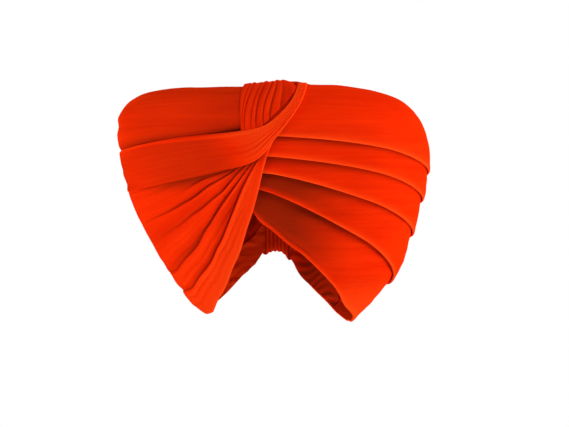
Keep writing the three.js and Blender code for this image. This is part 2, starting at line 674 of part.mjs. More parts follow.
const turban = new THREE.Group();
turban.add(underWraps());
turban.add(napeBand());
turban.add(topWrap('right_wrap_1', RIGHT_WRAPS[0]));
const lowerWraps = [...RIGHT_WRAPS.slice(1), HEM_WRAP];
lowerWraps.forEach((wrap, k) => {
  turban.add(rightWrap(`right_wrap_${k + 2}`, wrap, RIGHT_WRAPS[k]));
});
turban.add(leftUpperWrap());
turban.add(crossingBand());
turban.add(leftFanWrap());
turban.add(crownCloth());
turban.add(napeGather());
turban.position.z = -SEAT_HEIGHT;

export default turban;
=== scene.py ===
"""Turban cloth in its wound form: runs of one long orange cloth round a hollow for the head.

Everything is worked out in millimetres in the form's own frame, whose height is 0 at the tips,
and turned into metres in the shared frame when a mesh is made.
"""

import math

import bpy
import numpy as np
from bpy.props import FloatProperty, FloatVectorProperty, IntProperty, PointerProperty
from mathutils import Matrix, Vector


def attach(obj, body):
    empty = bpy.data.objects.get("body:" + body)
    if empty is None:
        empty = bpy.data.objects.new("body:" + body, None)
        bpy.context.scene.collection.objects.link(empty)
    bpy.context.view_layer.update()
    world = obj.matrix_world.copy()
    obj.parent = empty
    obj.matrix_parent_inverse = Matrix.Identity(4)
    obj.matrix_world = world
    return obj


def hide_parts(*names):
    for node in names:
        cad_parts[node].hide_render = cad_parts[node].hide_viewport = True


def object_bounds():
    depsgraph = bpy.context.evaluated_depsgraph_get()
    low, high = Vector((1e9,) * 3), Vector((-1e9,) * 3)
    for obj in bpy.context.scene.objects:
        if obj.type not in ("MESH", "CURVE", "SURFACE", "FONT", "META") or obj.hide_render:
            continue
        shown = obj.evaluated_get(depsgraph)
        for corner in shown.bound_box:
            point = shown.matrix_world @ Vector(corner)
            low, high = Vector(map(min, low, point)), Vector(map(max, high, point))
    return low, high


bl_info = {
    "name": "Wound turban cloth",
    "version": (1, 0, 0),
    "blender": (4, 5, 0),
    "location": "3D View > Sidebar > Turban",
    "description": "Builds a wound turban cloth with its folds, fan, crossing band and pleated crown",
    "category": "Add Mesh",
}

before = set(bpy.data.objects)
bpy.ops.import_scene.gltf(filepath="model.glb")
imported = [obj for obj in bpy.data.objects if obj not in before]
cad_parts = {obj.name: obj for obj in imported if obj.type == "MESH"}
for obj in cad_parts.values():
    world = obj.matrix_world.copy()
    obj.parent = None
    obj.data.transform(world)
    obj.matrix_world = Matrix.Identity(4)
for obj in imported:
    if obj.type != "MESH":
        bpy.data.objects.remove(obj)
SOLID_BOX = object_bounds()

# Sizes of the wound form and of the head, in millimetres
WIDTH = 300.0
DEPTH = 276.0
HEIGHT = 234.0
CROWN_TILT = 8.0
TROUGH_DEPTH = 3.4
TROUGH_PLACE = 30.0
TROUGH_WIDTH = 45.0
HEAD_WIDTH = 156.0
HEAD_DEPTH = 180.0
SECTION_POWER = 2.25

# Millimetres up the form for each unit of level, and the radius at which its girth is taken
LEVEL_SPAN = 290.0
GIRTH_RADIUS = 132.0

# Layers of cloth
WALL = 2.4
LAYER = 3.6
TUCK = 0.022
TUCK_SLOPE = 1.4
TUCK_FROM = 0.86
TUCKED_WALL = 1.4
CORE_DEPTH = 9.7
CORE_WALL = 2.6
CROWN_WALL = 5.0
CORE_RIM = 0.028
CROSS_LIFT = 3.9
BACK_JOINT = 179.4
FRONT_JOINT = -9.0
CROWN_HOLE = 0.95
CROWN_SHEET = 1.7

# Columns along each run of cloth and rows across it, with the steps that round its edges off
COLUMNS = dict(
    core=240, nape_band=120, top_wrap=320, wrap=300, upper_left=300, band=340, fan=360, crown=260,
)
ROWS = dict(core_outside=40, core_inside=70, nape_band=26, top_wrap=110, wrap=44, upper_left=110,
            band=52, gather=70)
EDGE_STEPS = 5

# Starts of the ripples' patterns, so that no two runs of cloth ripple alike
RIPPLE_SEEDS = dict(core=31, nape_band=11, upper_left=20, band=41, fan=57)

# Outer form from the tips over the crown to its middle, as shares of the height and half sizes
OUTER_ROWS = [
    dict(height=0.000, right=0.48, left=0.39, front=0.45, back=0.47),
    dict(height=0.090, right=0.63, left=0.56, front=0.57, back=0.61),
    dict(height=0.200, right=0.78, left=0.69, front=0.67, back=0.70),
    dict(height=0.330, right=0.865, left=0.81, front=0.72, back=0.77),
    dict(height=0.470, right=0.93, left=0.92, front=0.77, back=0.87),
    dict(height=0.600, right=0.98, left=0.985, front=0.87, back=0.95),
    dict(height=0.720, right=0.98, left=1.02, front=0.97, back=0.99),
    dict(height=0.830, right=0.92, left=1.02, front=1.00, back=0.97),
    dict(height=0.905, right=0.79, left=0.94, front=0.94, back=0.85),
    dict(height=0.936, right=0.57, left=0.75, front=0.77, back=0.66),
    dict(height=0.937, right=0.29, left=0.40, front=0.41, back=0.34),
    dict(height=0.930, right=0.00, left=0.00, front=0.00, back=0.00),
]
SEAT_HEIGHT = OUTER_ROWS[-1]["height"] * HEIGHT - CORE_DEPTH - CROWN_WALL

# Hollow for the head from the tips' height up to the seat, as shares of the head's half sizes
HOLLOW_ROWS = [
    dict(height=0.000, side=0.85, front=0.72, back=0.76),
    dict(height=0.110, side=0.98, front=0.82, back=0.86),
    dict(height=0.230, side=1.00, front=0.89, back=0.94),
    dict(height=0.380, side=1.00, front=0.95, back=1.01),
    dict(height=0.540, side=0.98, front=0.97, back=1.03),
    dict(height=0.690, side=0.92, front=0.88, back=0.94),
    dict(height=0.830, side=0.79, front=0.71, back=0.74),
    dict(height=0.930, side=0.60, front=0.52, back=0.54),
    dict(height=0.985, side=0.35, front=0.29, back=0.29),
    dict(height=1.000, side=0.00, front=0.00, back=0.00),
]

# Hem, from the back over the left tip, the front opening and the right tip
HEM = [
    dict(azimuth=-180, level=0.258),
    dict(azimuth=-176, level=0.256),
    dict(azimuth=-171, level=0.241),
    dict(azimuth=-164, level=0.194),
    dict(azimuth=-144, level=0.102),
    dict(azimuth=-120, level=0.052),
    dict(azimuth=-95, level=0.040),
    dict(azimuth=-55, level=0.050),
    dict(azimuth=-39, level=0.106),
    dict(azimuth=-27, level=0.180),
    dict(azimuth=-14, level=0.342),
    dict(azimuth=-9, level=0.330),
    dict(azimuth=-2, level=0.306),
    dict(azimuth=6, level=0.272),
    dict(azimuth=15, level=0.240),
    dict(azimuth=34, level=0.150),
    dict(azimuth=50, level=0.072),
    dict(azimuth=84, level=0.006),
    dict(azimuth=107, level=0.000),
    dict(azimuth=130, level=0.028),
    dict(azimuth=147, level=0.082),
    dict(azimuth=162, level=0.150),
    dict(azimuth=171, level=0.222),
    dict(azimuth=176, level=0.252),
    dict(azimuth=180, level=0.258),
]

# Lower edges of the right wraps, from the top one down
WRAP_STATIONS = dict(twist=-20, front=0, quarter=43, ear=90, behind=140, back=180)
RIGHT_WRAPS = [
    dict(start=-7, twist=0.559, front=0.557, quarter=0.528, ear=0.466, behind=0.458, back=0.490),
    dict(start=-7, twist=0.500, front=0.499, quarter=0.461, ear=0.384, behind=0.384, back=0.430),
    dict(start=-13, twist=0.456, front=0.452, quarter=0.385, ear=0.292, behind=0.304, back=0.378),
    dict(start=-15, twist=0.430, front=0.399, quarter=0.288, ear=0.150, behind=0.200, back=0.322),
]
HEM_WRAP = dict(start=-18, edge=0.366)

# Front edge of the fan by its level, under which the right wraps run in
FRONT_EDGE = [
    dict(level=0.060, azimuth=-55),
    dict(level=0.112, azimuth=-39),
    dict(level=0.180, azimuth=-27),
    dict(level=0.265, azimuth=-19),
    dict(level=0.338, azimuth=-13.5),
    dict(level=0.422, azimuth=-8),
    dict(level=0.500, azimuth=-4.5),
    dict(level=0.552, azimuth=-1),
    dict(level=0.600, azimuth=4),
    dict(level=0.700, azimuth=10),
]

# Crossing band: upper and lower edge and how many layers its underside stands off
BAND_SECTIONS = [
    dict(up_az=9.6, up=0.800, low_az=13.8, low=0.800, up_lift=0.30, low_lift=0.30),
    dict(up_az=8.9, up=0.735, low_az=12.2, low=0.735, up_lift=0.60, low_lift=0.30),
    dict(up_az=5.5, up=0.660, low_az=9.0, low=0.655, up_lift=1.40, low_lift=0.30),
    dict(up_az=0.0, up=0.610, low_az=4.5, low=0.598, up_lift=1.60, low_lift=0.50),
    dict(up_az=-6.0, up=0.583, low_az=-1.0, low=0.552, up_lift=1.60, low_lift=1.60),
    dict(up_az=-14.0, up=0.568, low_az=-9.0, low=0.503, up_lift=1.65, low_lift=2.75),
    dict(up_az=-30.0, up=0.552, low_az=-24.0, low=0.473, up_lift=-0.05, low_lift=1.95),
    dict(up_az=-50.0, up=0.540, low_az=-47.0, low=0.435, up_lift=-0.67, low_lift=-0.15),
    dict(up_az=-72.0, up=0.528, low_az=-70.0, low=0.415, up_lift=-0.67, low_lift=-0.45),
    dict(up_az=-105, up=0.520, low_az=-105, low=0.415, up_lift=-0.67, low_lift=-0.45),
    dict(up_az=-140, up=0.530, low_az=-140, low=0.440, up_lift=-0.67, low_lift=-0.45),
    dict(up_az=-179.4, up=0.560, low_az=-179.4, low=0.490, up_lift=-0.67, low_lift=-0.45),
]
BAND_LENGTH = 420.0

# The same sections on the left alone, from the back to the front
BAND_ON_LEFT = BAND_SECTIONS[:2:-1]

# Creases along the band near the twist: share of its width and height in millimetres
BAND_CREASES = [
    (0.46, -0.5), (0.52, 0.6), (0.64, -0.7), (0.70, 0.8), (0.80, -1.0), (0.88, 0.9), (0.94, -0.7),
]

# How far the band's rolled layers reach inward at the twist, in millimetres
TWIST_ROLL = 3.4

# Left fan: hidden upper edge, front edge or hem, and the shares of its folds and hem roll
FAN_SECTIONS = [
    dict(up_az=-10, up=0.530, low_az=-0.3, low=0.560, fold=0.05, roll=0.0),
    dict(up_az=-14, up=0.520, low_az=-4.0, low=0.508, fold=0.05, roll=0.1),
    dict(up_az=-24, up=0.500, low_az=-9.0, low=0.407, fold=1.00, roll=1.0),
    dict(up_az=-38, up=0.480, low_az=-14.8, low=0.320, fold=1.00, roll=1.0),
    dict(up_az=-56, up=0.452, low_az=-24.0, low=0.208, fold=0.62, roll=1.0),
    dict(up_az=-78, up=0.440, low_az=-43.0, low=0.088, fold=0.22, roll=0.75),
    dict(up_az=-105, up=0.443, low_az=-80.0, low=0.038, fold=0.06, roll=0.4),
    dict(up_az=-132, up=0.458, low_az=-118, low=0.050, fold=0.03, roll=0.2),
    dict(up_az=-157, up=0.488, low_az=-152, low=0.130, fold=0.03, roll=0.1),
    dict(up_az=-179.4, up=0.518, low_az=-179.4, low=0.258, fold=0.03, roll=0.0),
]
FAN_LENGTH = 330.0
FAN_WIDTH = 180.0
FAN_RIM = 130.0

# Valleys between the fan's folds, by the share of the way out from the twist: where each lies
# between the hidden edge and the front edge
FAN_VALLEYS = [
    dict(out=0.00, band=0.90, first=0.92, second=0.94, third=0.96, fourth=0.98),
    dict(out=0.12, band=0.64, first=0.58, second=0.65, third=0.715, fourth=0.78),
    dict(out=0.16, band=0.39, first=0.46, second=0.545, third=0.636, fourth=0.720),
    dict(out=0.20, band=0.26, first=0.39, second=0.478, third=0.584, fourth=0.688),
    dict(out=0.25, band=0.19, first=0.365, second=0.478, third=0.575, fourth=0.690),
    dict(out=0.31, band=0.13, first=0.360, second=0.498, third=0.583, fourth=0.730),
    dict(out=0.37, band=0.09, first=0.350, second=0.476, third=0.591, fourth=0.765),
    dict(out=0.44, band=0.09, first=0.333, second=0.449, third=0.609, fourth=0.784),
    dict(out=0.50, band=0.10, first=0.318, second=0.437, third=0.627, fourth=0.786),
    dict(out=0.60, band=0.10, first=0.310, second=0.430, third=0.640, fourth=0.790),
    dict(out=1.00, band=0.10, first=0.310, second=0.430, third=0.650, fourth=0.790),
]

# How deep each valley is along the way, as a share of the fold
FAN_DEPTHS = [
    dict(out=0.00, band=0.1, first=0.1, second=0.1, third=0.1, fourth=0.1, fold=0.05, roll=0.0),
    dict(out=0.12, band=0.9, first=0.8, second=0.8, third=0.8, fourth=0.8, fold=0.22, roll=0.3),
    dict(out=0.20, band=1.0, first=1.0, second=0.9, third=1.0, fourth=1.0, fold=0.55, roll=0.8),
    dict(out=0.31, band=0.9, first=1.0, second=0.9, third=1.0, fourth=1.0, fold=1.00, roll=1.0),
    dict(out=0.37, band=0.9, first=1.0, second=0.8, third=1.0, fourth=1.0, fold=1.00, roll=1.0),
    dict(out=0.44, band=0.6, first=0.8, second=0.6, third=1.0, fourth=1.0, fold=0.95, roll=1.0),
    dict(out=0.50, band=0.2, first=0.5, second=0.4, third=0.9, fourth=1.0, fold=0.85, roll=0.9),
    dict(out=0.60, band=0.0, first=0.1, second=0.1, third=0.5, fourth=0.8, fold=0.65, roll=0.6),
    dict(out=0.75, band=0.0, first=0.0, second=0.0, third=0.0, fourth=0.1, fold=0.50, roll=0.3),
    dict(out=1.00, band=0.0, first=0.0, second=0.0, third=0.0, fourth=0.0, fold=0.50, roll=0.0),
]

# Rows of each of the fan's folds, the slight one under the band among them
FAN_FOLD_ROWS = [14, 12, 12, 16, 18, 20, 30]

# Small creases near the tip: share of the way to the front edge and height in millimetres
FAN_CREASES = [(0.60, -0.5), (0.715, -0.7), (0.735, 0.5), (0.825, 0.5), (0.845, -0.7), (0.90, -0.5)]

# Crown cloth on the flat map of the form: y runs from the front to the back
CROWN_ROWS = [
    dict(y=-0.44, left=-0.104, right=0.070, pleat=0.90, lift=0.36),
    dict(y=-0.30, left=-0.072, right=0.044, pleat=1.00, lift=0.40),
    dict(y=-0.20, left=-0.052, right=0.028, pleat=1.00, lift=0.36),
    dict(y=-0.12, left=-0.052, right=0.050, pleat=0.75, lift=0.36),
    dict(y=-0.02, left=-0.120, right=0.120, pleat=0.55, lift=0.36),
    dict(y=0.10, left=-0.150, right=0.150, pleat=0.55, lift=0.36),
    dict(y=0.24, left=-0.100, right=0.100, pleat=0.75, lift=0.36),
    dict(y=0.36, left=-0.070, right=0.070, pleat=0.90, lift=0.36),
    dict(y=0.55, left=-0.085, right=0.085, pleat=0.75, lift=0.40),
    dict(y=0.66, left=-0.098, right=0.098, pleat=0.60, lift=1.65),
    dict(y=0.69, left=-0.100, right=0.100, pleat=0.50, lift=1.70),
]
CROWN_FRONT = (-0.433, -0.270)
CROWN_BACK = 0.69
CROWN_LEAN = 1.75

# Pleats of the crown cloth across its width: where each valley lies, from left to right
CROWN_VALLEYS = [0.0, 0.13, 0.21, 0.37, 0.45, 0.58, 0.67, 0.79, 1.0]
CROWN_PLEATS = [0.45, 0.70, 0.55, 1.00, 0.80, 1.25, 1.15, 0.60]
CROWN_PLEAT_ROWS = 14
CROWN_CLOTH_WIDTH = 120.0

# Nape band and gathered end
NAPE_BAND_HEIGHT = 27.0
NAPE_BAND_RISE = 7.0
NAPE_BAND_HALF = 52.5
NAPE_BAND_INSET = 1.2
GATHER_HALF = 8.0
GATHER_HEIGHT = 31.0
GATHER_CLEAR = 1.7
GATHER_PLEATS = 6
GATHER_PLEAT_ROWS = 10

# How the visible folds sink under the ones above, and how much painted shade they get, from the second
# right wrap down
SUNK = (2.2, 2.6, 3.4, 3.6)
PAINTED_FOLD_SHADE = (0.0, 0.12, 1.10, 1.15)
DEEPEST = 8.0

# Thickness of the folds' lower edges at the front and round the side
THIN = 0.9
BRIM = 1.7

# Where the right side starts, round which the folds lie flatter
ASIDE = (38, 75)

# Painted shade on the faces that are turned inward
INSIDE_PAINTED_SHADE = -0.55

# Cloth's surface: streaks and blotches of the dye, and slubs, by size, length and roughness
PATTERNS = dict(
    streaks=dict(scale=210.0, stretch=0.045, detail=3.0, rough=0.55),
    blotches=dict(scale=34.0, stretch=0.35, detail=2.0, rough=0.5),
    slubs=dict(scale=900.0, stretch=0.03, detail=2.0, rough=0.6),
)
THREAD_WAVE = 0.314
THREAD_WANDER = 40.0

# Stage in metres and degrees
FLOOR_RADIUS = 1.9
FLOOR_SIDES = 96
LIGHT_REACH = 1.6
LIGHT_AIM = -0.09
LIGHT_SIZE = 0.8
LIGHTS = [
    dict(name="right", azimuth=85.0, rise=-10.0),
    dict(name="left", azimuth=-60.0, rise=-20.0),
    dict(name="fill", azimuth=28.0, rise=30.0),
    dict(name="front", azimuth=-5.0, rise=-32.0),
]
SURROUND = [
    dict(axis="Y", low=-0.80, high=0.0, dark=0.16),
    dict(axis="Z", low=-0.55, high=-0.12, dark=0.12),
]
CAMERA_SIDE = 0.0073
CAMERA_HEIGHT = -0.098
SENSOR_WIDTH = 36.0


class TurbanCloth(bpy.types.PropertyGroup):
    """Sizes and colours of the cloth, and the colours of its painted highlights and painted shade"""

    lip: FloatProperty(
        name="Fold lip", description="How far each fold's lower edge swells", default=0.0011,
        min=0.0, max=0.003, subtype="DISTANCE", unit="LENGTH", precision=4)
    fold: FloatProperty(
        name="Fan folds", description="Depth of the folds of the fan at the twist", default=0.0058,
        min=0.0, max=0.009, subtype="DISTANCE", unit="LENGTH", precision=4)
    pleat: FloatProperty(
        name="Crown pleats", description="Depth of the pleats of the crown cloth", default=0.0020,
        min=0.0, max=0.004, subtype="DISTANCE", unit="LENGTH", precision=4)
    ripple: FloatProperty(
        name="Ripples", description="Height of the soft ripples along the runs", default=0.0006,
        min=0.0, max=0.002, subtype="DISTANCE", unit="LENGTH", precision=4)
    thread: FloatProperty(
        name="Thread spacing", description="Distance between the threads of the weave", default=0.0007,
        min=0.0003, max=0.002, subtype="DISTANCE", unit="LENGTH", precision=4)
    bright: FloatVectorProperty(
        name="Cloth", description="Colour of the dyed cloth", default=(0.88, 0.026, 0.0010),
        size=3, min=0.0, max=1.0, subtype="COLOR")
    deep: FloatVectorProperty(
        name="Deeper dye", description="Colour where the dye has taken more",
        default=(0.70, 0.0155, 0.0006), size=3, min=0.0, max=1.0, subtype="COLOR")
    # Colour of the painted highlights on edges, crests and lit places, where the tone rises to 1
    painted_highlight: FloatVectorProperty(
        name="Worn edges", description="Colour of edges that wear has made lighter",
        default=(1.0, 0.060, 0.006), size=3, min=0.0, max=1.0, subtype="COLOR")
    # Colour of the painted shade in valleys, under folds and inside, where the tone falls to -1
    painted_shade: FloatVectorProperty(
        name="Covered cloth", description="Colour where folds keep the dye deep",
        default=(0.30, 0.014, 0.0018), size=3, min=0.0, max=1.0, subtype="COLOR")
    seed: IntProperty(
        name="Seed", description="Start of the ripples' pattern", default=7, min=0, max=999)


class TurbanStage(bpy.types.PropertyGroup):
    """Floor, light and camera"""

    floor_colour: FloatVectorProperty(
        name="Floor", description="Colour of the floor", default=(0.50, 0.49, 0.48),
        size=3, min=0.0, max=1.0, subtype="COLOR")
    floor_drop: FloatProperty(
        name="Floor depth", description="How far the floor lies below the tips", default=0.65,
        min=0.0, max=1.0, subtype="DISTANCE", unit="LENGTH")
    sky: FloatProperty(
        name="Surround", description="Brightness of the white surround", default=1.0,
        min=0.0, max=3.0)
    right_light: FloatProperty(
        name="Right light", description="Power of the light on the right", default=17.0,
        min=0.0, max=200.0, subtype="POWER", unit="POWER")
    left_light: FloatProperty(
        name="Left light", description="Power of the light on the left", default=17.0,
        min=0.0, max=200.0, subtype="POWER", unit="POWER")
    fill_light: FloatProperty(
        name="Fill light", description="Power of the light from above in front", default=7.5,
        min=0.0, max=200.0, subtype="POWER", unit="POWER")
    front_light: FloatProperty(
        name="Front light", description="Power of the light from below in front", default=8.0,
        min=0.0, max=200.0, subtype="POWER", unit="POWER")
    distance: FloatProperty(
        name="Camera distance", description="From the camera to the middle of the turban", default=2.2,
        min=0.5, max=10.0, subtype="DISTANCE", unit="LENGTH")
    lens: FloatProperty(
        name="Lens", description="Focal length of the camera in millimetres", default=143.6,
        min=20.0, max=400.0)


def millimetres(length):
    return length * 1000.0


def mix(a, b, t):
    return a + (b - a) * t


def ease(x, start, end):
    t = np.clip((x - start) / (end - start), 0.0, 1.0)
    return t * t * (3.0 - 2.0 * t)


def window(x, start, full, fading, end):
    """1 between full and fading, and 0 before the start and after the end."""
    return ease(x, start, full) * (1 - ease(x, fading, end))


def near(distance, reach):
    """Falls from 1 at no distance to 0 well beyond the reach."""
    return np.exp(-((distance / reach) ** 2))


def smooth(table, x):
    """Smooth curve through evenly spaced numbers or points, at a place counted in their steps."""
    last = len(table) - 1
    i = np.minimum(np.floor(x).astype(int), last - 1)
    f = (x - i).reshape(np.shape(x) + (1,) * (table.ndim - 1))
    full = np.concatenate([[2 * table[0] - table[1]], table, [2 * table[-1] - table[-2]]])
    a, b, c, d = full[i], full[i + 1], full[i + 2], full[i + 3]
    bend = (2 * a - 5 * b + 4 * c - d) * f * f + (-a + 3 * b - 3 * c + d) * f * f * f
    return 0.5 * (2 * b + (c - a) * f + bend)


def along_rows(rows, column, share):
    """Smooth curve through evenly spaced rows."""
    table = np.array([row[column] for row in rows], dtype=float)
    return smooth(table, np.clip(share, 0.0, 1.0) * (len(table) - 1))


def across_rows(rows, key, column, x):
    """Smooth curve through unevenly spaced rows."""
    keys = np.array([row[key] for row in rows], dtype=float)
    values = np.array([row[column] for row in rows], dtype=float)
    last = len(keys) - 1
    before = np.maximum(np.arange(last + 1) - 1, 0)
    after = np.minimum(np.arange(last + 1) + 1, last)
    slopes = (values[after] - values[before]) / (keys[after] - keys[before])
    at = np.clip(x, keys[0], keys[-1])
    i = np.clip(np.searchsorted(keys, at, side="left") - 1, 0, last - 1)
    step = keys[i + 1] - keys[i]
    t = (at - keys[i]) / step
    h = t * t * (3 - 2 * t)
    rise = t * (1 - t) ** 2 * slopes[i] - t * t * (1 - t) * slopes[i + 1]
    return mix(values[i], values[i + 1], h) + rise * step


def section_radius(azimuth, side, fore):
    a = np.radians(azimuth)
    x = np.abs(np.sin(a)) / np.maximum(side, 1e-3)
    y = np.abs(np.cos(a)) / np.maximum(fore, 1e-3)
    return (x**SECTION_POWER + y**SECTION_POWER) ** (-1 / SECTION_POWER)


def outer_radius(azimuth, level):
    a = np.radians(azimuth)
    right = along_rows(OUTER_ROWS, "right", level)
    left = along_rows(OUTER_ROWS, "left", level)
    front = along_rows(OUTER_ROWS, "front", level)
    back = along_rows(OUTER_ROWS, "back", level)
    side = np.where(np.sin(a) >= 0, right, left) * WIDTH / 2
    fore = np.where(np.cos(a) >= 0, front, back) * DEPTH / 2
    return section_radius(azimuth, side, fore)


def standing(azimuth, radius, height):
    a = np.radians(azimuth)
    x = radius * np.sin(a)
    y = -radius * np.cos(a)
    tilt = CROWN_TILT * ease(height / HEIGHT, 0.45, 0.95) * y / (DEPTH / 2)
    aside = (x + TROUGH_PLACE) / TROUGH_WIDTH
    trough = TROUGH_DEPTH * ease(height / HEIGHT, 0.62, 0.92) * np.exp(-aside * aside)
    return np.stack(np.broadcast_arrays(x, y, height - tilt - trough), axis=-1)


def form(azimuth, level):
    """Outer form: level 0 is the tips' height and level 1 the middle of the crown."""
    height = along_rows(OUTER_ROWS, "height", level) * HEIGHT
    return standing(azimuth, outer_radius(azimuth, level), height)


def form_at(x, y):
    azimuth = np.degrees(np.arctan2(x, -y))
    return form(azimuth, 1 - np.hypot(x, y))


def unit(vector):
    return vector / np.maximum(np.linalg.norm(vector, axis=-1, keepdims=True), 1e-9)


def raised(x, y, height):
    """Point that stands off the form by a height along its normal, on the flat map."""
    step = 0.004
    along_x = form_at(x + step, y) - form_at(x - step, y)
    along_y = form_at(x, y + step) - form_at(x, y - step)
    normal = unit(np.cross(along_x, along_y))
    return form_at(x, y) + normal * np.asarray(height)[..., None]


def stand_off(azimuth, level, height):
    a = np.radians(azimuth)
    far = 1 - level
    x, y, height = np.broadcast_arrays(far * np.sin(a), -far * np.cos(a), height)
    return raised(x, y, height)


def share_at(rows, height):
    """Share of the way up a table's rows where its height column reaches a height."""
    low = np.zeros_like(height)
    high = np.ones_like(height)
    for _ in range(30):
        middle = (low + high) / 2
        under = along_rows(rows, "height", middle) < height
        low = np.where(under, middle, low)
        high = np.where(under, high, middle)
    return low


def hollow(azimuth, height, depth=0.0):
    """Point of the hollow's face at a height, moved inward by a depth."""
    azimuth, height, depth = np.broadcast_arrays(azimuth, height, depth)
    share = share_at(HOLLOW_ROWS, height / SEAT_HEIGHT)
    cos = np.cos(np.radians(azimuth))
    front = along_rows(HOLLOW_ROWS, "front", share)
    back = along_rows(HOLLOW_ROWS, "back", share)
    side = along_rows(HOLLOW_ROWS, "side", share) * HEAD_WIDTH / 2
    head = section_radius(azimuth, side, np.where(cos >= 0, front, back) * HEAD_DEPTH / 2)
    rising = OUTER_ROWS[:11]
    level = share_at(rising, height / HEIGHT) * (len(rising) - 1) / (len(OUTER_ROWS) - 1)
    room = outer_radius(azimuth, level) - CORE_DEPTH - CORE_WALL
    return standing(azimuth, np.maximum(np.minimum(head, room) - depth, 0), height)


def hem_level(azimuth):
    return across_rows(HEM, "azimuth", "level", azimuth)


def ripples(along, over, seed, width=14.0, reach=150.0):
    """Soft ripples that run with the cloth, about -1 to 1, from sizes in millimetres."""
    pick = np.random.default_rng(seed)
    total = 0.0
    for _ in range(9):
        across_wave = width * pick.uniform(0.55, 1.8)
        along_wave = reach * pick.uniform(0.8, 3.0) * pick.choice([-1, 1])
        wander = 0.9 * np.sin(along / (reach * 0.55) + pick.uniform(0, 6.3))
        phase = 2 * np.pi * (over / across_wave + along / along_wave) + wander
        total = total + np.sin(phase + pick.uniform(0, 6.3)) * across_wave / width
    slow = 0.6 + 0.4 * np.sin(along / reach * 2.1 + over / width * 0.31 + seed)
    return total / 4.0 * slow


def slack(azimuth, level, seed):
    """Broad soft waves over the shoulder of the upper turns, in millimetres."""
    a = np.radians(azimuth)
    wave = np.sin(a * 11.0 + seed) + 0.7 * np.sin(a * 18.0 + 2.0 * seed)
    return 0.45 * wave * window(level, 0.74, 0.86, 0.91, 0.94)


def spread(count, *knots):
    """Shares from 0 to 1, closer together near the knots."""
    even = np.linspace(0, 1, 2001)
    weight = np.ones_like(even)
    for knot in knots:
        weight += 5.0 * np.exp(-(((even - knot) / 0.05) ** 2))
    total = np.concatenate([[0], np.cumsum((weight[1:] + weight[:-1]) / 2)])
    return np.interp(np.linspace(0, total[-1], count), total, even)


def rounding(outer, inner, outward):
    """Rows of points that round an edge off from the outer to the inner face."""
    middle = (outer + inner) / 2
    half = (outer - inner) / 2
    radius = np.linalg.norm(half, axis=-1, keepdims=True)
    rows = []
    for k in range(1, EDGE_STEPS):
        turn = math.pi * k / EDGE_STEPS
        rows.append(middle + half * math.cos(turn) + outward * radius * math.sin(turn))
    return rows


def marked(length, wide, tone):
    """Distances along and across the cloth, and its tone: painted shade down to -1, painted highlight
    up to 1.
    """
    return np.stack(np.broadcast_arrays(length, wide, tone), axis=-1)


def fold_steps(rows):
    """For each row of a folded cloth: which fold it is in, and how far across that fold."""
    steps = [(fold, step / count) for fold, count in enumerate(rows) for step in range(count)]
    steps.append((len(rows) - 1, 1.0))
    which, across = zip(*steps)
    return np.array(which)[None, :], np.array(across)[None, :]


def cloth_mesh(name, outer, inner, run):
    """Closed cloth from an outer and an inner grid, with its first and last rows rounded off.

    The grids are columns by rows. run holds what marked gives."""
    first = rounding(inner[:, 0], outer[:, 0], unit(outer[:, 0] - outer[:, 1]))
    last = rounding(outer[:, -1], inner[:, -1], unit(outer[:, -1] - outer[:, -2]))
    columns = outer.shape[0]
    loop = [outer[:, j] for j in range(outer.shape[1])]
    loop += last
    loop += [inner[:, j] for j in range(inner.shape[1] - 1, -1, -1)]
    loop += first
    runs = [run[:, j] for j in range(run.shape[1])]
    runs += [run[:, -1]] * len(last)
    inward = run.copy()
    # The inner faces get painted shade
    inward[..., 2] = INSIDE_PAINTED_SHADE
    runs += [inward[:, j] for j in range(run.shape[1] - 1, -1, -1)]
    runs += [run[:, 0]] * len(first)
    points = np.stack(loop, axis=1)
    around = len(loop)
    marks = np.stack(runs, axis=1).reshape(-1, 3)
    i, j = np.meshgrid(np.arange(columns - 1), np.arange(around), indexing="ij")
    n = (j + 1) % around
    here = i * around
    there = here + around
    faces = np.stack([here + j, there + j, there + n, here + n], axis=-1).reshape(-1, 4).tolist()
    for base, flip in ((0, False), ((columns - 1) * around, True)):
        one = (around - len(first) // 2 - 1) % around
        two = (one + 1) % around
        sides = []
        while one != two and (two + 1) % around != one:
            lower = (one - 1) % around
            upper = (two + 1) % around
            if lower == upper or lower == two:
                break
            sides.append([base + one, base + two, base + upper, base + lower])
            one, two = lower, upper
        spare = (two + 1) % around
        if spare == (one - 1) % around and spare not in (one, two):
            sides.append([base + one, base + two, base + spare])
        faces += [face[::-1] if flip else face for face in sides]
    return solid(name, points.reshape(-1, 3), faces, marks)


def volume(points, faces):
    """Six times the volume that the faces close, below 0 where they are turned inward."""
    fans = [(face[0], face[k - 1], face[k]) for face in faces for k in range(2, len(face))]
    a, b, c = (points[corner] for corner in np.transpose(fans))
    return np.sum(a * np.cross(b, c))


def solid(name, points, faces, marks):
    """Mesh object in metres, with outward faces and its run along the cloth, with its painted light
    and shade, as an attribute.
    """
    placed = np.array(points, dtype=float)
    placed[:, 2] -= SEAT_HEIGHT
    placed /= 1000.0
    if volume(placed, faces) < 0:
        faces = [face[::-1] for face in faces]
    mesh = bpy.data.meshes.new(name)
    mesh.from_pydata(placed.tolist(), [], faces)
    mesh.validate()
    mesh.polygons.foreach_set("use_smooth", [True] * len(mesh.polygons))
    layer = mesh.attributes.new("run", "FLOAT_VECTOR", "POINT")
    flat = np.array(marks, dtype=np.float32)
    flat[:, :2] /= 1000.0
    layer.data.foreach_set("vector", flat.ravel())
    mesh.update()
    obj = bpy.data.objects.new(name, mesh)
    bpy.context.collection.objects.link(obj)
    return obj


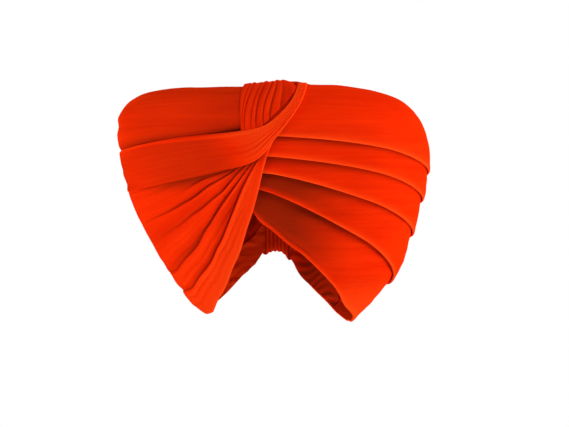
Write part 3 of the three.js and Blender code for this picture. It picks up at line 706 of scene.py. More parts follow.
def cloth_material(name, turn):
    """Fine cotton: streaks and threads along the run, a soft sheen and slightly uneven dye.

    turn moves the patterns, so that no two runs of cloth look alike."""
    cloth = bpy.context.scene.turban_cloth
    material = bpy.data.materials.new(name)
    material.use_nodes = True
    nodes = material.node_tree.nodes
    links = material.node_tree.links
    nodes.clear()
    output = nodes.new("ShaderNodeOutputMaterial")
    surface = nodes.new("ShaderNodeBsdfPrincipled")
    surface.inputs["Roughness"].default_value = 0.78
    surface.inputs["IOR"].default_value = 1.42
    surface.inputs["Specular IOR Level"].default_value = 0.0
    surface.inputs["Sheen Weight"].default_value = 0.10
    surface.inputs["Sheen Roughness"].default_value = 0.4
    surface.inputs["Sheen Tint"].default_value = (1.0, 0.14, 0.004, 1.0)
    links.new(surface.outputs["BSDF"], output.inputs["Surface"])

    run = nodes.new("ShaderNodeAttribute")
    run.attribute_type = "GEOMETRY"
    run.attribute_name = "run"

    def noise(scale, stretch, detail, rough):
        place = nodes.new("ShaderNodeMapping")
        place.inputs["Scale"].default_value = (scale * stretch, scale, 0.0)
        place.inputs["Location"].default_value = (turn, turn * 2.3, turn * 0.7)
        links.new(run.outputs["Vector"], place.inputs["Vector"])
        texture = nodes.new("ShaderNodeTexNoise")
        texture.inputs["Scale"].default_value = 1.0
        texture.inputs["Detail"].default_value = detail
        texture.inputs["Roughness"].default_value = rough
        links.new(place.outputs["Vector"], texture.inputs["Vector"])
        return texture.outputs["Fac"]

    streaks = noise(**PATTERNS["streaks"])
    blotches = noise(**PATTERNS["blotches"])
    slubs = noise(**PATTERNS["slubs"])

    blend = nodes.new("ShaderNodeMath")
    blend.operation = "ADD"
    links.new(streaks, blend.inputs[0])
    links.new(blotches, blend.inputs[1])
    tone = nodes.new("ShaderNodeMapRange")
    tone.inputs["From Min"].default_value = 0.72
    tone.inputs["From Max"].default_value = 1.28
    links.new(blend.outputs[0], tone.inputs["Value"])
    dye = nodes.new("ShaderNodeMix")
    dye.data_type = "RGBA"
    dye.inputs["A"].default_value = (*cloth.deep, 1.0)
    dye.inputs["B"].default_value = (*cloth.bright, 1.0)
    links.new(tone.outputs["Result"], dye.inputs["Factor"])

    apart = nodes.new("ShaderNodeSeparateXYZ")
    links.new(run.outputs["Vector"], apart.inputs["Vector"])
    colour = dye.outputs["Result"]
    # Painted highlight where the run's tone is above 0 and painted shade where it is below 0
    for shade, reach in ((cloth.painted_highlight, 1.0), (cloth.painted_shade, -1.0)):
        amount = nodes.new("ShaderNodeMapRange")
        amount.inputs["From Max"].default_value = reach
        links.new(apart.outputs["Z"], amount.inputs["Value"])
        layer = nodes.new("ShaderNodeMix")
        layer.data_type = "RGBA"
        layer.inputs["B"].default_value = (*shade, 1.0)
        links.new(amount.outputs["Result"], layer.inputs["Factor"])
        links.new(colour, layer.inputs["A"])
        colour = layer.outputs["Result"]
    links.new(colour, surface.inputs["Base Color"])

    turns = 1.0 / cloth.thread
    weave = nodes.new("ShaderNodeMath")
    weave.operation = "ADD"
    for way, (axis, gain) in enumerate((("X", 0.8), ("Y", 1.0))):
        place = nodes.new("ShaderNodeMapping")
        scale = [THREAD_WANDER, THREAD_WANDER, 0.0]
        scale[way] = turns
        place.inputs["Scale"].default_value = scale
        links.new(run.outputs["Vector"], place.inputs["Vector"])
        wave = nodes.new("ShaderNodeTexWave")
        wave.bands_direction = axis
        wave.inputs["Scale"].default_value = THREAD_WAVE
        wave.inputs["Distortion"].default_value = 0.6
        wave.inputs["Detail"].default_value = 1.0
        links.new(place.outputs["Vector"], wave.inputs["Vector"])
        weight = nodes.new("ShaderNodeMath")
        weight.operation = "MULTIPLY"
        weight.inputs[1].default_value = gain
        links.new(wave.outputs["Fac"], weight.inputs[0])
        links.new(weight.outputs[0], weave.inputs[way])

    relief = [
        dict(height=weave.outputs[0], strength=0.16, distance=0.0002),
        dict(height=slubs, strength=0.30, distance=0.0004),
        dict(height=streaks, strength=0.35, distance=0.0015),
    ]
    normal = None
    for row in relief:
        bump = nodes.new("ShaderNodeBump")
        bump.inputs["Strength"].default_value = row["strength"]
        bump.inputs["Distance"].default_value = row["distance"]
        links.new(row["height"], bump.inputs["Height"])
        if normal is not None:
            links.new(normal, bump.inputs["Normal"])
        normal = bump.outputs["Normal"]
    links.new(normal, surface.inputs["Normal"])
    return material


def finished(obj, node, material):
    obj.data.materials.append(material)
    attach(obj, "root")
    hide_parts(node)
    return obj


def wrap_edge(wrap, azimuth):
    """Level of a right wrap's lower edge. The lowest wrap ends at the hem."""
    if "edge" in wrap:
        return mix(hem_level(azimuth), wrap["edge"], ease(-azimuth, 7, 18))
    rows = [dict(at=at, level=wrap[place]) for place, at in WRAP_STATIONS.items()]
    return across_rows(rows, "at", "level", azimuth)


def band_top(azimuth):
    return across_rows(BAND_ON_LEFT, "up_az", "up", azimuth)


def below_band(azimuth, level):
    """Distance below the crossing band's lower edge on the left, in millimetres."""
    return (across_rows(BAND_ON_LEFT, "low_az", "low", azimuth) - level) * LEVEL_SPAN


def girth(azimuth):
    """Distance round the form, in millimetres."""
    return np.radians(azimuth) * GIRTH_RADIUS


def from_nape(turn):
    """Azimuth that lies a turn in degrees beside the middle of the back."""
    return np.where(turn > 0, turn - 180, turn + 180)


def lip_swell(lip, aside, below, reach):
    """Swell over a fold's lower edge, lower round the side, with the edge itself rounded off."""
    return lip * mix(1.0, 0.5, aside) * near(below, reach) - 0.3 * np.exp(-(below / 0.8))


class TURBAN_OT_under_wraps(bpy.types.Operator):
    """Make the inner turns that leave the hollow for the head"""

    bl_idname = "turban.under_wraps"
    bl_label = "Inner turns"

    def execute(self, context):
        sides = COLUMNS["core"]
        pitch = 21.0
        azimuth = np.linspace(-180, 180, sides, endpoint=False)
        a = np.radians(azimuth)
        rim = hem_level(azimuth) + CORE_RIM
        sunk = np.full(sides, -CORE_DEPTH)
        points = []
        marks = []
        for share in np.linspace(0.97, 0, ROWS["core_outside"]):
            level = mix(rim, 1, share)
            points.append(stand_off(azimuth, level, sunk))
            # The outside lies under the other turns and gets painted shade
            marks.append(marked(girth(azimuth), level * LEVEL_SPAN, -0.4))
        foot = points[-1][:, 2]
        for share in np.linspace(0.015, 1, ROWS["core_inside"]):
            height = mix(foot, SEAT_HEIGHT, share)
            turns = height / pitch + azimuth / 360.0 * 2 + 0.35 * np.sin(a * 3)
            step = turns - np.floor(turns)
            fold = 1.3 * step**1.6 * window(share, 0.0, 0.08, 0.86, 0.97)
            over = height + 4.0 * np.sin(a * 2)
            small = 0.25 * ripples(girth(azimuth), over, RIPPLE_SEEDS["core"], 11.0, 120.0)
            swell = np.maximum(fold + small * (1 - share), 0.0) * 0.9
            points.append(hollow(azimuth, height, -swell))
            # Painted highlight at each turn's edge and painted light near the rim, with painted shade
            # deeper in the hollow and round the right side
            tone = 0.4 * near(step - 0.9, 0.14) + 0.4 - 1.25 * ease(share, 0.12, 0.24)
            tone = tone - 0.7 * window(azimuth, 20, 60, 150, 170)
            marks.append(marked(girth(azimuth), height, tone))
        top = len(points) * sides
        last = top - sides
        points.append(stand_off(np.zeros(1), np.ones(1), np.full(1, -CORE_DEPTH)))
        points.append(hollow(np.zeros(1), np.full(1, SEAT_HEIGHT)))
        # The two middle points get full painted shade
        marks.append([[0, LEVEL_SPAN, -1], [0, SEAT_HEIGHT, -1]])
        faces = []
        for low in range(0, last, sides):
            high = low + sides
            for i in range(sides):
                n = (i + 1) % sides
                faces.append([low + i, low + n, high + n, high + i])
        for i in range(sides):
            n = (i + 1) % sides
            faces.append([n, i, top])
            faces.append([last + i, last + n, top + 1])
        obj = solid("inner_turns", np.concatenate(points), faces, np.concatenate(marks))
        finished(obj, "under_wraps", cloth_material("Cotton, inner turns", turn=3.1))
        return {"FINISHED"}


class TURBAN_OT_nape_band(bpy.types.Operator):
    """Make the turn of cloth inside the back hem"""

    bl_idname = "turban.nape_band"
    bl_label = "Nape band"

    def execute(self, context):
        turn = np.linspace(-NAPE_BAND_HALF, NAPE_BAND_HALF, COLUMNS["nape_band"])[:, None]
        beside = np.abs(turn)
        azimuth = from_nape(turn)
        share = spread(ROWS["nape_band"], 0.0, 1.0)[None, :]
        foot = form(azimuth, hem_level(azimuth))[..., 2] + 1 + NAPE_BAND_RISE * ease(beside, 6, 32)
        tall = NAPE_BAND_HEIGHT * mix(1, 0.5, ease(beside, 20, NAPE_BAND_HALF))
        height = foot + tall * share
        soft = 0.8 * ripples(girth(turn), height, RIPPLE_SEEDS["nape_band"], 10.0, 60.0)
        soft = np.maximum(soft, -0.9)
        hidden = hollow(azimuth, height, NAPE_BAND_INSET)
        seen = hollow(azimuth, height, NAPE_BAND_INSET + WALL + soft)
        # Painted light on the band with a painted highlight along its top, painted shade in stripes
        # where it crumples, and painted shade on its right part
        wavy = np.sin(height * 0.36 + turn * 0.16 + 1.4 * np.sin(turn * 0.21)) ** 4
        tone = 0.9 + 0.3 * near(1 - share, 0.1) - 0.7 * wavy - 1.5 * ease(-turn, 5, 22)
        obj = cloth_mesh("nape_band_cloth", seen, hidden, marked(girth(turn), height, tone))
        finished(obj, "nape_band", cloth_material("Cotton, nape band", turn=5.7))
        return {"FINISHED"}


class TURBAN_OT_right_wraps(bpy.types.Operator):
    """Make the five stepped folds round the right side"""

    bl_idname = "turban.right_wraps"
    bl_label = "Right wraps"

    def execute(self, context):
        cloth = context.scene.turban_cloth
        lip = millimetres(cloth.lip)
        ripple = millimetres(cloth.ripple)
        self.top(RIGHT_WRAPS[0], lip, ripple, cloth.seed)
        wraps = RIGHT_WRAPS[1:] + [HEM_WRAP]
        for k, wrap in enumerate(wraps):
            obj = self.lower(k, wrap, RIGHT_WRAPS[k], lip, ripple, cloth.seed + k + 1)
            node = f"right_wrap_{k + 2}"
            finished(obj, node, cloth_material(f"Cotton, right wrap {k + 2}", turn=1.7 * k + 8))
        return {"FINISHED"}

    def lower(self, k, wrap, above, lip, ripple, seed):
        azimuth = np.linspace(wrap["start"], BACK_JOINT, COLUMNS["wrap"])[:, None]
        part = spread(ROWS["wrap"], 0.0, 0.9)[None, :]
        share = np.clip(part / TUCK_FROM, 0, 1)
        tuck = np.clip((part - TUCK_FROM) / (1 - TUCK_FROM), 0, 1)
        low = wrap_edge(wrap, azimuth)
        high = wrap_edge(above, azimuth)
        level = mix(low, high, share) + tuck * TUCK
        span = np.abs(high - low) * LEVEL_SPAN
        below = share * span
        sunk = SUNK[k] * (1 - ease(azimuth, 15, 80))
        aside = ease(azimuth, *ASIDE)
        layer = LAYER * mix(1.0, 0.78, aside)
        depth = np.minimum((layer + sunk) * share**1.8 + tuck * TUCK_SLOPE, DEEPEST)
        swell = lip_swell(lip, aside, below, 4.0)
        # Painted shade under the fold above and towards the front, and a painted highlight along the
        # lower edge
        under = np.maximum(span - below, 0)
        dark = PAINTED_FOLD_SHADE[k] * (1 - ease(azimuth, -2, 45)) * mix(0.6, 1.0, ease(share, 0.0, 0.4))
        dark = dark + (0.08 + 0.58 * (1 - ease(azimuth, 15, 65))) * near(under, 5.5)
        tone = 1.1 * np.exp(-(below / 1.5)) - dark
        if "edge" in wrap:
            # Turned strip along the hem at the front, with a painted shadow line in it and a faint
            # painted highlight above that, and painted light over the low part round the right tip
            strip = window(azimuth, -9, -4, 14, 26)
            swell = swell * (1 - 0.6 * strip) - 0.5 * strip * near(below - 3.6, 0.8)
            tone = tone - 0.5 * strip * near(below - 3.8, 0.8) + 0.1 * strip * near(below - 2.0, 1.4)
            tone = tone + 0.6 * ease(azimuth, 26, 46) * (1 - ease(level, 0.06, 0.20))
        edge_off = ease(below, 0.0, 5.0) * (1 - tuck)
        soft = ripples(girth(azimuth), level * LEVEL_SPAN, seed) * edge_off * ease(span, 4, 14)
        outer = stand_off(azimuth, level, -depth + swell + 0.6 * ripple * soft)
        wall = mix(mix(THIN, BRIM, aside), mix(WALL, TUCKED_WALL, share), ease(below, 0, 5))
        inner = stand_off(azimuth, level, -depth - wall)
        run = marked(girth(azimuth), level * LEVEL_SPAN, tone)
        return cloth_mesh(f"right_fold_{k + 2}", outer, inner, run)

    def top(self, wrap, lip, ripple, seed):
        azimuth = np.linspace(wrap["start"], BACK_JOINT, COLUMNS["top_wrap"])[:, None]
        share = spread(ROWS["top_wrap"], 0.0)[None, :]
        low = wrap_edge(wrap, azimuth)
        level = mix(low, CROWN_HOLE, share)
        below = (level - low) * LEVEL_SPAN
        aside = ease(azimuth, *ASIDE)
        edge_off = ease(below, 0.0, 7.0) * (1 - ease(level, 0.86, 0.93))
        soft = 1.1 * ripple * ripples(girth(azimuth), level * LEVEL_SPAN, seed, 20.0, 190.0) * edge_off
        height = lip_swell(lip, aside, below, 5.0) + soft + slack(azimuth, level, 2.0)
        outer = stand_off(azimuth, level, height)
        wall = mix(mix(THIN, BRIM, aside), WALL, ease(below, 0, 5))
        inner = stand_off(azimuth, level, -wall)
        # Painted highlight along the lower edge, and a little painted light just above it
        tone = 1.1 * np.exp(-(below / 1.5)) + 0.12 * near(below, 12.0)
        run = marked(girth(azimuth), level * LEVEL_SPAN, tone)
        obj = cloth_mesh("right_fold_1", outer, inner, run)
        finished(obj, "right_wrap_1", cloth_material("Cotton, right wrap 1", turn=0.4))


class TURBAN_OT_left_upper_wrap(bpy.types.Operator):
    """Make the smooth turn over the upper left"""

    bl_idname = "turban.left_upper_wrap"
    bl_label = "Upper left wrap"

    def execute(self, context):
        cloth = context.scene.turban_cloth
        ripple = millimetres(cloth.ripple)
        azimuth = np.linspace(-BACK_JOINT, FRONT_JOINT, COLUMNS["upper_left"])[:, None]
        part = spread(ROWS["upper_left"], 0.08)[None, :]
        rows = [
            dict(part=0.00, share=0.00, tuck=-1.5, depth=LAYER + 0.8),
            dict(part=0.04, share=0.00, tuck=0.0, depth=LAYER + 0.3),
            dict(part=0.09, share=0.00, tuck=1.1, depth=0.5),
            dict(part=0.14, share=0.10, tuck=0.6, depth=-0.1),
            dict(part=0.30, share=0.26, tuck=0, depth=0.0),
            dict(part=1.00, share=1.00, tuck=0, depth=0.0),
        ]
        share = across_rows(rows, "part", "share", part)
        tuck = across_rows(rows, "part", "tuck", part)
        depth = across_rows(rows, "part", "depth", part)
        low = band_top(azimuth)
        level = mix(low, CROWN_HOLE, share) + tuck * TUCK
        over = level * LEVEL_SPAN
        edge_off = ease(part, 0.10, 0.2) * (1 - ease(level, 0.86, 0.93))
        seed = cloth.seed + RIPPLE_SEEDS["upper_left"]
        soft = 1.3 * ripple * ripples(girth(azimuth), over, seed, 18.0, 150.0) * edge_off
        outer = stand_off(azimuth, level, -depth + soft + slack(azimuth, level, 5.0))
        inner = stand_off(azimuth, level, -depth - WALL)
        # Painted shade just above the band and towards the front
        above = np.maximum((level - low) * LEVEL_SPAN, 0)
        tone = -0.55 * near(above, 6.5)
        tone = tone - 0.34 * ease(azimuth, -84, -48) - 0.12 * ease(azimuth, -42, -16)
        obj = cloth_mesh("upper_left_turn", outer, inner, marked(girth(azimuth), over, tone))
        finished(obj, "left_upper_wrap", cloth_material("Cotton, upper left", turn=12.5))
        return {"FINISHED"}


class TURBAN_OT_crossing_band(bpy.types.Operator):
    """Make the band that crosses the bundle and runs on round the left"""

    bl_idname = "turban.crossing_band"
    bl_label = "Crossing band"

    def execute(self, context):
        ripple = millimetres(context.scene.turban_cloth.ripple)
        along = (np.linspace(0, 1, COLUMNS["band"]) ** 1.25)[:, None]
        share = spread(ROWS["band"], 0.0, 1.0)[None, :]

        def column(name):
            return along_rows(BAND_SECTIONS, name, along)

        azimuth = mix(column("up_az"), column("low_az"), share)
        level = mix(column("up"), column("low"), share)
        start = ease(along, 0.0, 0.09)
        edge = (share - 1) * np.abs(column("up") - column("low")) * LEVEL_SPAN
        # Lower edge feathers out round the side
        feather = ease(along, 0.58, 0.78)
        under = LAYER * mix(column("up_lift"), column("low_lift"), share)
        under = mix(under, 0.15, feather * ease(edge, -6.0, 0.0))
        rolled = mix(0.2, 1, ease(along, 0, 0.15)) * (1 - ease(along, 0.4, 0.75))
        roll = 1.5 * np.sin(np.pi * share) ** 0.6 * rolled
        thin = 0.8 * share * ease(along, 0.5, 0.7)
        length = along * BAND_LENGTH
        wide = share * mix(26.0, 40.0, ease(along, 0, 0.5))
        edges_off = ease(share, 0, 0.15) * ease(1 - share, 0, 0.2)
        waves = ripples(length, wide, RIPPLE_SEEDS["band"], 9.0, 110.0)
        soft = 0.9 * ripple * waves * edges_off
        creased = window(along, 0.06, 0.14, 0.36, 0.52)
        crease = sum(gain * near(share - at, 0.03) for at, gain in BAND_CREASES) * creased
        thick = mix(WALL + roll - thin + soft + crease, 0.45, feather * ease(edge, -12.0, -0.5))
        outer = stand_off(azimuth, level, mix(1.4, under + thick, start))
        inward = TWIST_ROLL * window(along, 0.34, 0.42, 0.56, 0.66)
        inner = stand_off(azimuth, level, mix(0.1, under - inward, start))
        # Painted highlights along the edges, over the bundle and at the twist, painted shade where the
        # band turns to the left, and painted light on the creases' ridges with painted shade in their
        # grooves
        lit = 0.45 * near(share, 0.05) + 0.55 * near(1 - share, 0.07) * (1 - ease(along, 0.3, 0.5))
        lit = lit + 0.50 * (1 - ease(along, 0.38, 0.52))
        shaded = ease(along, 0.46, 0.56) * (1 - 0.6 * ease(along, 0.60, 0.72))
        tone = lit * ease(along, 0.02, 0.08) + 0.5 * crease - 0.46 * shaded
        obj = cloth_mesh("band_over_bundle", outer, inner, marked(length, wide, tone))
        finished(obj, "crossing_band", cloth_material("Cotton, crossing band", turn=17.2))
        return {"FINISHED"}


class TURBAN_OT_left_fan(bpy.types.Operator):
    """Make the fan of folds from the twist to the left tip"""

    bl_idname = "turban.left_fan"
    bl_label = "Left fan"

    def execute(self, context):
        cloth = context.scene.turban_cloth
        ripple = millimetres(cloth.ripple)
        deep = millimetres(cloth.fold)
        along = (np.linspace(0, 1, COLUMNS["fan"]) ** 1.25)[:, None]
        names = ["band", "first", "second", "third", "fourth"]
        which, k = fold_steps(FAN_FOLD_ROWS)
        k = 0.5 - 0.5 * np.cos(np.pi * k)
        hem = which == len(FAN_FOLD_ROWS) - 1
        zero = np.zeros_like(along)
        places = [across_rows(FAN_VALLEYS, "out", name, along) for name in names]
        places[0] = np.minimum(places[0], places[1] - 0.05)
        places.insert(1, mix(places[0], places[1], 0.62))
        places = np.concatenate([zero, *places, zero + 1], axis=1)
        depths = [across_rows(FAN_DEPTHS, "out", name, along) for name in names]
        depths.insert(1, 0.5 * depths[1] * (1 - ease(along, 0.34, 0.46)))
        depths = np.concatenate([depths[0], *depths, zero], axis=1)
        pick = np.broadcast_to(which, (len(along), which.shape[1]))

        def between(table):
            before = np.take_along_axis(table, pick, 1)
            after = np.take_along_axis(table, pick + 1, 1)
            return mix(before, after, k)

        def column(name):
            return along_rows(FAN_SECTIONS, name, along)

        share = between(places)
        strength = between(depths)
        low_az = column("low_az")
        low = mix(column("low"), hem_level(low_az), ease(-low_az, 20, 30))
        azimuth = mix(column("up_az"), low_az, share)
        level = mix(column("up"), low, share)
        # Lift over the right wraps, which run in under the front edge
        inside = across_rows(FRONT_EDGE, "level", "azimuth", level) - azimuth
        cross = CROSS_LIFT * (1 - ease(inside, 13, 25)) * ease(level, 0.2, 0.32)
        free = 1 - cross / CROSS_LIFT
        # Section of each fold, then of the hem's and of the one below the hidden edge
        arch = np.maximum(np.sin(np.pi * k**0.62), 0.0) ** 0.55
        arch = np.where(hem, np.maximum(arch, ease(k, 0, 0.4)), arch)
        arch = np.where(which == 0, 1 - k**4, arch)
        relief = deep * across_rows(FAN_DEPTHS, "out", "fold", along) * strength
        rolled = across_rows(FAN_DEPTHS, "out", "roll", along)
        roll = np.where(hem, 2.4 * rolled * np.sin(np.pi * mix(0.10, 0.88, k)), 0.0)
        lower = below_band(azimuth, level)
        beneath = 1 - ease(lower, -7.0, -0.5)
        tuck = (LAYER - 0.8) * beneath * free
        length = along * FAN_LENGTH
        wide = share * FAN_WIDTH
        calm = ease(along, 0.1, 0.4) * ease(1 - share, 0, 0.2) * (1 - 0.6 * ease(along, 0.40, 0.55))
        near_tip = window(along, 0.26, 0.36, 0.56, 0.66)
        crease = sum(gain * near(share - at, 0.010) for at, gain in FAN_CREASES) * near_tip
        waves = ripples(length, wide, RIPPLE_SEEDS["fan"], 13.0, 120.0)
        soft = ripple * waves * calm + crease
        height = cross - relief * (1 - arch) * free + relief * arch * (1 - free) + roll - tuck
        height = height + soft * (1 - beneath)
        wall = mix(WALL, THIN, ease(share, 0.95, 1.0) * free)
        outer = stand_off(azimuth, level, height)
        inner = stand_off(azimuth, level, height - soft - wall)

        # Painted shade in the valleys and below the band, and painted highlights just past each
        # valley, on the hem roll, along the front edge, towards the front edge midway out and on the
        # creases' ridges
        groove = strength * ease(along, 0.1, 0.16)
        ahead = np.where(hem, 0.0, 0.55 * near(1 - k, 0.24) + 0.75 * near(1 - k, 0.09))
        tone = -groove * (ahead + 0.7 * near(k, 0.05))
        tone = tone - 1.1 * near(lower - 1.0, 5.5) * window(along, 0.08, 0.13, 0.36, 0.54)
        tone = tone + 0.6 * groove * near(k - 0.15, 0.08) * (1 - ease(along, 0.3, 0.42))
        rim = (1 - share) * FAN_RIM
        tone = tone + 0.28 * rolled * hem + 0.6 * np.exp(-(rim / 2.2)) * (1 - ease(along, 0.6, 0.8))
        tone = tone + 0.2 * window(along, 0.30, 0.48, 0.62, 0.75) * ease(share, 0.35, 0.75)
        tone = tone + 0.45 * crease
        obj = cloth_mesh("fan_of_folds", outer, inner, marked(length, wide, tone))
        finished(obj, "left_fan_wrap", cloth_material("Cotton, fan", turn=23.9))
        return {"FINISHED"}


class TURBAN_OT_crown_cloth(bpy.types.Operator):
    """Make the pleated cloth from the front bundle over the crown and down the back"""

    bl_idname = "turban.crown_cloth"
    bl_label = "Crown cloth"

    def execute(self, context):
        deep = millimetres(context.scene.turban_cloth.pleat)
        along = spread(COLUMNS["crown"], 0.0)[:, None]
        valleys = np.array(CROWN_VALLEYS)
        which, k = fold_steps([CROWN_PLEAT_ROWS] * (len(valleys) - 1))
        share = mix(valleys[which], valleys[which + 1], k)
        tall = np.array(CROWN_PLEATS)[which]
        start = mix(CROWN_FRONT[0], CROWN_FRONT[1], share ** (2 * CROWN_LEAN))
        y = mix(start, CROWN_BACK, along)

        def column(name):
            return across_rows(CROWN_ROWS, "y", name, y)

        # Pleats rise from the left and drop sharply on the right
        edge = ease(share, 0.75, 0.97)
        knife = mix(k**0.8, 0.0, ease(k, 0.86, 1.0))
        pleat = deep * column("pleat") * tall * knife
        sway = 0.008 * np.sin(y * 26.0 + share * 13.0) * np.sin(np.pi * share)
        lean = mix(share, share**CROWN_LEAN, ease(-y, 0.20, 0.40)) + sway * ease(-y, 0.18, 0.26)
        x = mix(column("left"), column("right"), lean)
        under = LAYER * column("lift")
        bulge = np.sin(np.pi * share) * (0.3 * ease(-y, 0.12, 0.22) + 1.2 * ease(-y, 0.27, 0.36))
        pressed = mix(0.3, 1.0, ease(along, 0.0, 0.04))
        thick = CROWN_SHEET + (pleat + bulge) * (1 - edge) * pressed
        outer = raised(x, y, under + thick)
        inner = raised(x, y, under)
        # Painted highlight near each pleat's crest and painted shade in its valleys, and slightly
        # darker all over
        valley = 0.65 * near(k, 0.10) + 0.65 * near(1 - k, 0.05)
        tone = tall * (0.42 * near(k - 0.82, 0.09) - valley) - 0.12
        run = marked(y * LEVEL_SPAN, share * CROWN_CLOTH_WIDTH, tone)
        obj = cloth_mesh("crown_pleats", outer, inner, run)
        finished(obj, "crown_cloth", cloth_material("Cotton, crown", turn=29.3))
        return {"FINISHED"}


class TURBAN_OT_nape_gather(bpy.types.Operator):
    """Make the gathered end that is folded round the back hem"""

    bl_idname = "turban.nape_gather"
    bl_label = "Gathered end"

    def execute(self, context):
        which, k = fold_steps([GATHER_PLEAT_ROWS] * GATHER_PLEATS)
        turn = np.linspace(-GATHER_HALF, GATHER_HALF, which.shape[1])[:, None]
        k = k.T
        azimuth = from_nape(turn)
        hem = hem_level(azimuth)
        foot = form(azimuth, hem)[..., 2]
        middle = GATHER_CLEAR + WALL / 2
        depth = NAPE_BAND_INSET + WALL + middle
        # Way from the outside round the hem and up inside
        clear = np.full_like(hem, middle)
        out = stand_off(azimuth, hem + 0.002, clear)
        rim = hollow(azimuth, foot + 1, depth)
        path = [stand_off(azimuth, hem + 0.075, clear), stand_off(azimuth, hem + 0.035, clear), out]
        for share in (0.12, 0.5, 0.88):
            point = mix(out, rim, share)
            point[..., 2] = foot - middle
            path.append(point)
        path.append(rim)
        path += [hollow(azimuth, foot + rise, depth) for rise in (10, 20, GATHER_HEIGHT)]
        path = np.concatenate(path, axis=1)
        fine = np.linspace(0, path.shape[1] - 1, ROWS["gather"])
        line = np.moveaxis(smooth(np.moveaxis(path, 1, 0), fine), 0, 1)
        tangent = np.gradient(line, axis=1)
        around = np.stack([-line[..., 1], line[..., 0], np.zeros(line.shape[:2])], axis=-1)
        away = unit(np.cross(tangent, around))
        pleat = (1.2 * np.abs(np.sin(np.pi * k)) ** 0.7)[..., None]
        outer = line + away * (WALL / 2 + pleat)
        inner = line - away * (WALL / 2)
        # Painted highlight on each pleat's crest and painted shade in the valleys between
        tone = 0.6 * near(k - 0.5, 0.2) - 0.4 * near(k, 0.15) - 0.4 * near(1 - k, 0.15)
        obj = cloth_mesh("gathered_end", outer, inner, marked(fine[None, :] * 8, turn * 4.0, tone))
        finished(obj, "nape_gather", cloth_material("Cotton, gathered end", turn=33.3))
        return {"FINISHED"}


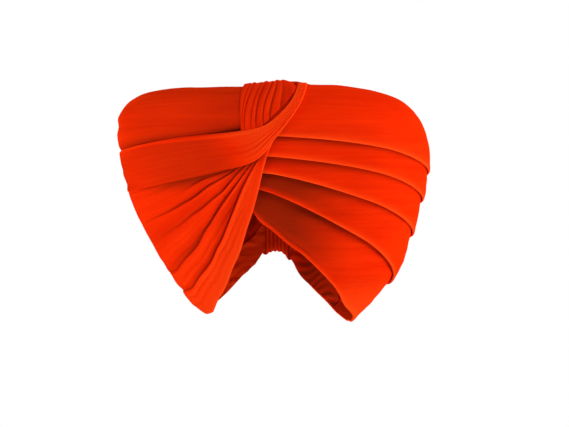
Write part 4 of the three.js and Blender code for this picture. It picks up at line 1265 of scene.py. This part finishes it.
class TURBAN_OT_stage(bpy.types.Operator):
    """Make the floor, the white surround, the lights and the camera"""

    bl_idname = "turban.stage"
    bl_label = "Floor, light and camera"

    def execute(self, context):
        stage = context.scene.turban_stage
        floor_height = SOLID_BOX[0][2] - stage.floor_drop
        mesh = bpy.data.meshes.new("floor")
        turns = np.linspace(0, 2 * math.pi, FLOOR_SIDES, endpoint=False)
        ring = [(FLOOR_RADIUS * math.cos(t), FLOOR_RADIUS * math.sin(t), 0.0) for t in turns]
        mesh.from_pydata(ring, [], [list(range(FLOOR_SIDES))])
        floor = bpy.data.objects.new("floor", mesh)
        floor.location = (0, 0, floor_height)
        context.collection.objects.link(floor)
        matt = bpy.data.materials.new("Matt floor")
        matt.use_nodes = True
        shader = matt.node_tree.nodes["Principled BSDF"]
        shader.inputs["Base Color"].default_value = (*stage.floor_colour, 1.0)
        shader.inputs["Roughness"].default_value = 0.9
        mesh.materials.append(matt)

        world = bpy.data.worlds.new("White surround")
        context.scene.world = world
        world.use_nodes = True
        nodes = world.node_tree.nodes
        links = world.node_tree.links
        background = nodes["Background"]
        background.inputs["Color"].default_value = (1.0, 1.0, 1.0, 1.0)
        place = nodes.new("ShaderNodeTexCoord")
        parts = nodes.new("ShaderNodeSeparateXYZ")
        links.new(place.outputs["Generated"], parts.inputs["Vector"])
        both = nodes.new("ShaderNodeMath")
        both.operation = "MULTIPLY"
        for k, row in enumerate(SURROUND):
            part = nodes.new("ShaderNodeMapRange")
            part.interpolation_type = "SMOOTHSTEP"
            part.inputs["From Min"].default_value = row["low"]
            part.inputs["From Max"].default_value = row["high"]
            part.inputs["To Min"].default_value = row["dark"]
            part.inputs["To Max"].default_value = 1.0
            links.new(parts.outputs[row["axis"]], part.inputs["Value"])
            links.new(part.outputs["Result"], both.inputs[k])
        power = nodes.new("ShaderNodeMath")
        power.operation = "MULTIPLY"
        power.inputs[1].default_value = stage.sky
        links.new(both.outputs[0], power.inputs[0])
        links.new(power.outputs[0], background.inputs["Strength"])

        for row in LIGHTS:
            self.light(context, power=getattr(stage, row["name"] + "_light"), **row)

        camera = bpy.data.cameras.new("camera")
        camera.lens = stage.lens
        camera.sensor_width = SENSOR_WIDTH
        obj = bpy.data.objects.new("camera", camera)
        obj.location = (CAMERA_SIDE, -stage.distance, CAMERA_HEIGHT)
        obj.rotation_euler = (math.pi / 2, 0, 0)
        context.collection.objects.link(obj)
        context.scene.camera = obj
        context.scene.view_settings.view_transform = "Standard"
        context.scene.view_settings.look = "None"
        return {"FINISHED"}

    def light(self, context, name, azimuth, rise, power):
        light = bpy.data.lights.new("light_" + name, "AREA")
        light.size = LIGHT_SIZE
        light.energy = power
        obj = bpy.data.objects.new("light_" + name, light)
        a = math.radians(azimuth)
        e = math.radians(rise)
        out = LIGHT_REACH * math.cos(e)
        obj.location = (out * math.sin(a), -out * math.cos(a), LIGHT_REACH * math.sin(e) + LIGHT_AIM)
        obj.rotation_euler = (math.pi / 2 - e, 0, a)
        context.collection.objects.link(obj)


class TURBAN_PT_panel(bpy.types.Panel):
    """Lists the sizes, colours and steps"""

    bl_idname = "TURBAN_PT_panel"
    bl_label = "Turban"
    bl_space_type = "VIEW_3D"
    bl_region_type = "UI"
    bl_category = "Turban"

    def draw(self, context):
        layout = self.layout
        for group in (context.scene.turban_cloth, context.scene.turban_stage):
            for name in type(group).__annotations__:
                layout.prop(group, name)
        for step in STEPS:
            layout.operator(step.bl_idname)


STEPS = (
    TURBAN_OT_under_wraps,
    TURBAN_OT_nape_band,
    TURBAN_OT_right_wraps,
    TURBAN_OT_left_upper_wrap,
    TURBAN_OT_crossing_band,
    TURBAN_OT_left_fan,
    TURBAN_OT_crown_cloth,
    TURBAN_OT_nape_gather,
    TURBAN_OT_stage,
)
CLASSES = (TurbanCloth, TurbanStage, *STEPS, TURBAN_PT_panel)


def register():
    for cls in CLASSES:
        bpy.utils.register_class(cls)
    bpy.types.Scene.turban_cloth = PointerProperty(type=TurbanCloth)
    bpy.types.Scene.turban_stage = PointerProperty(type=TurbanStage)


def unregister():
    del bpy.types.Scene.turban_stage
    del bpy.types.Scene.turban_cloth
    for cls in reversed(CLASSES):
        bpy.utils.unregister_class(cls)


def main():
    register()
    for step in STEPS:
        group, name = step.bl_idname.split(".")
        getattr(getattr(bpy.ops, group), name)()


if __name__ == "__main__":
    main()
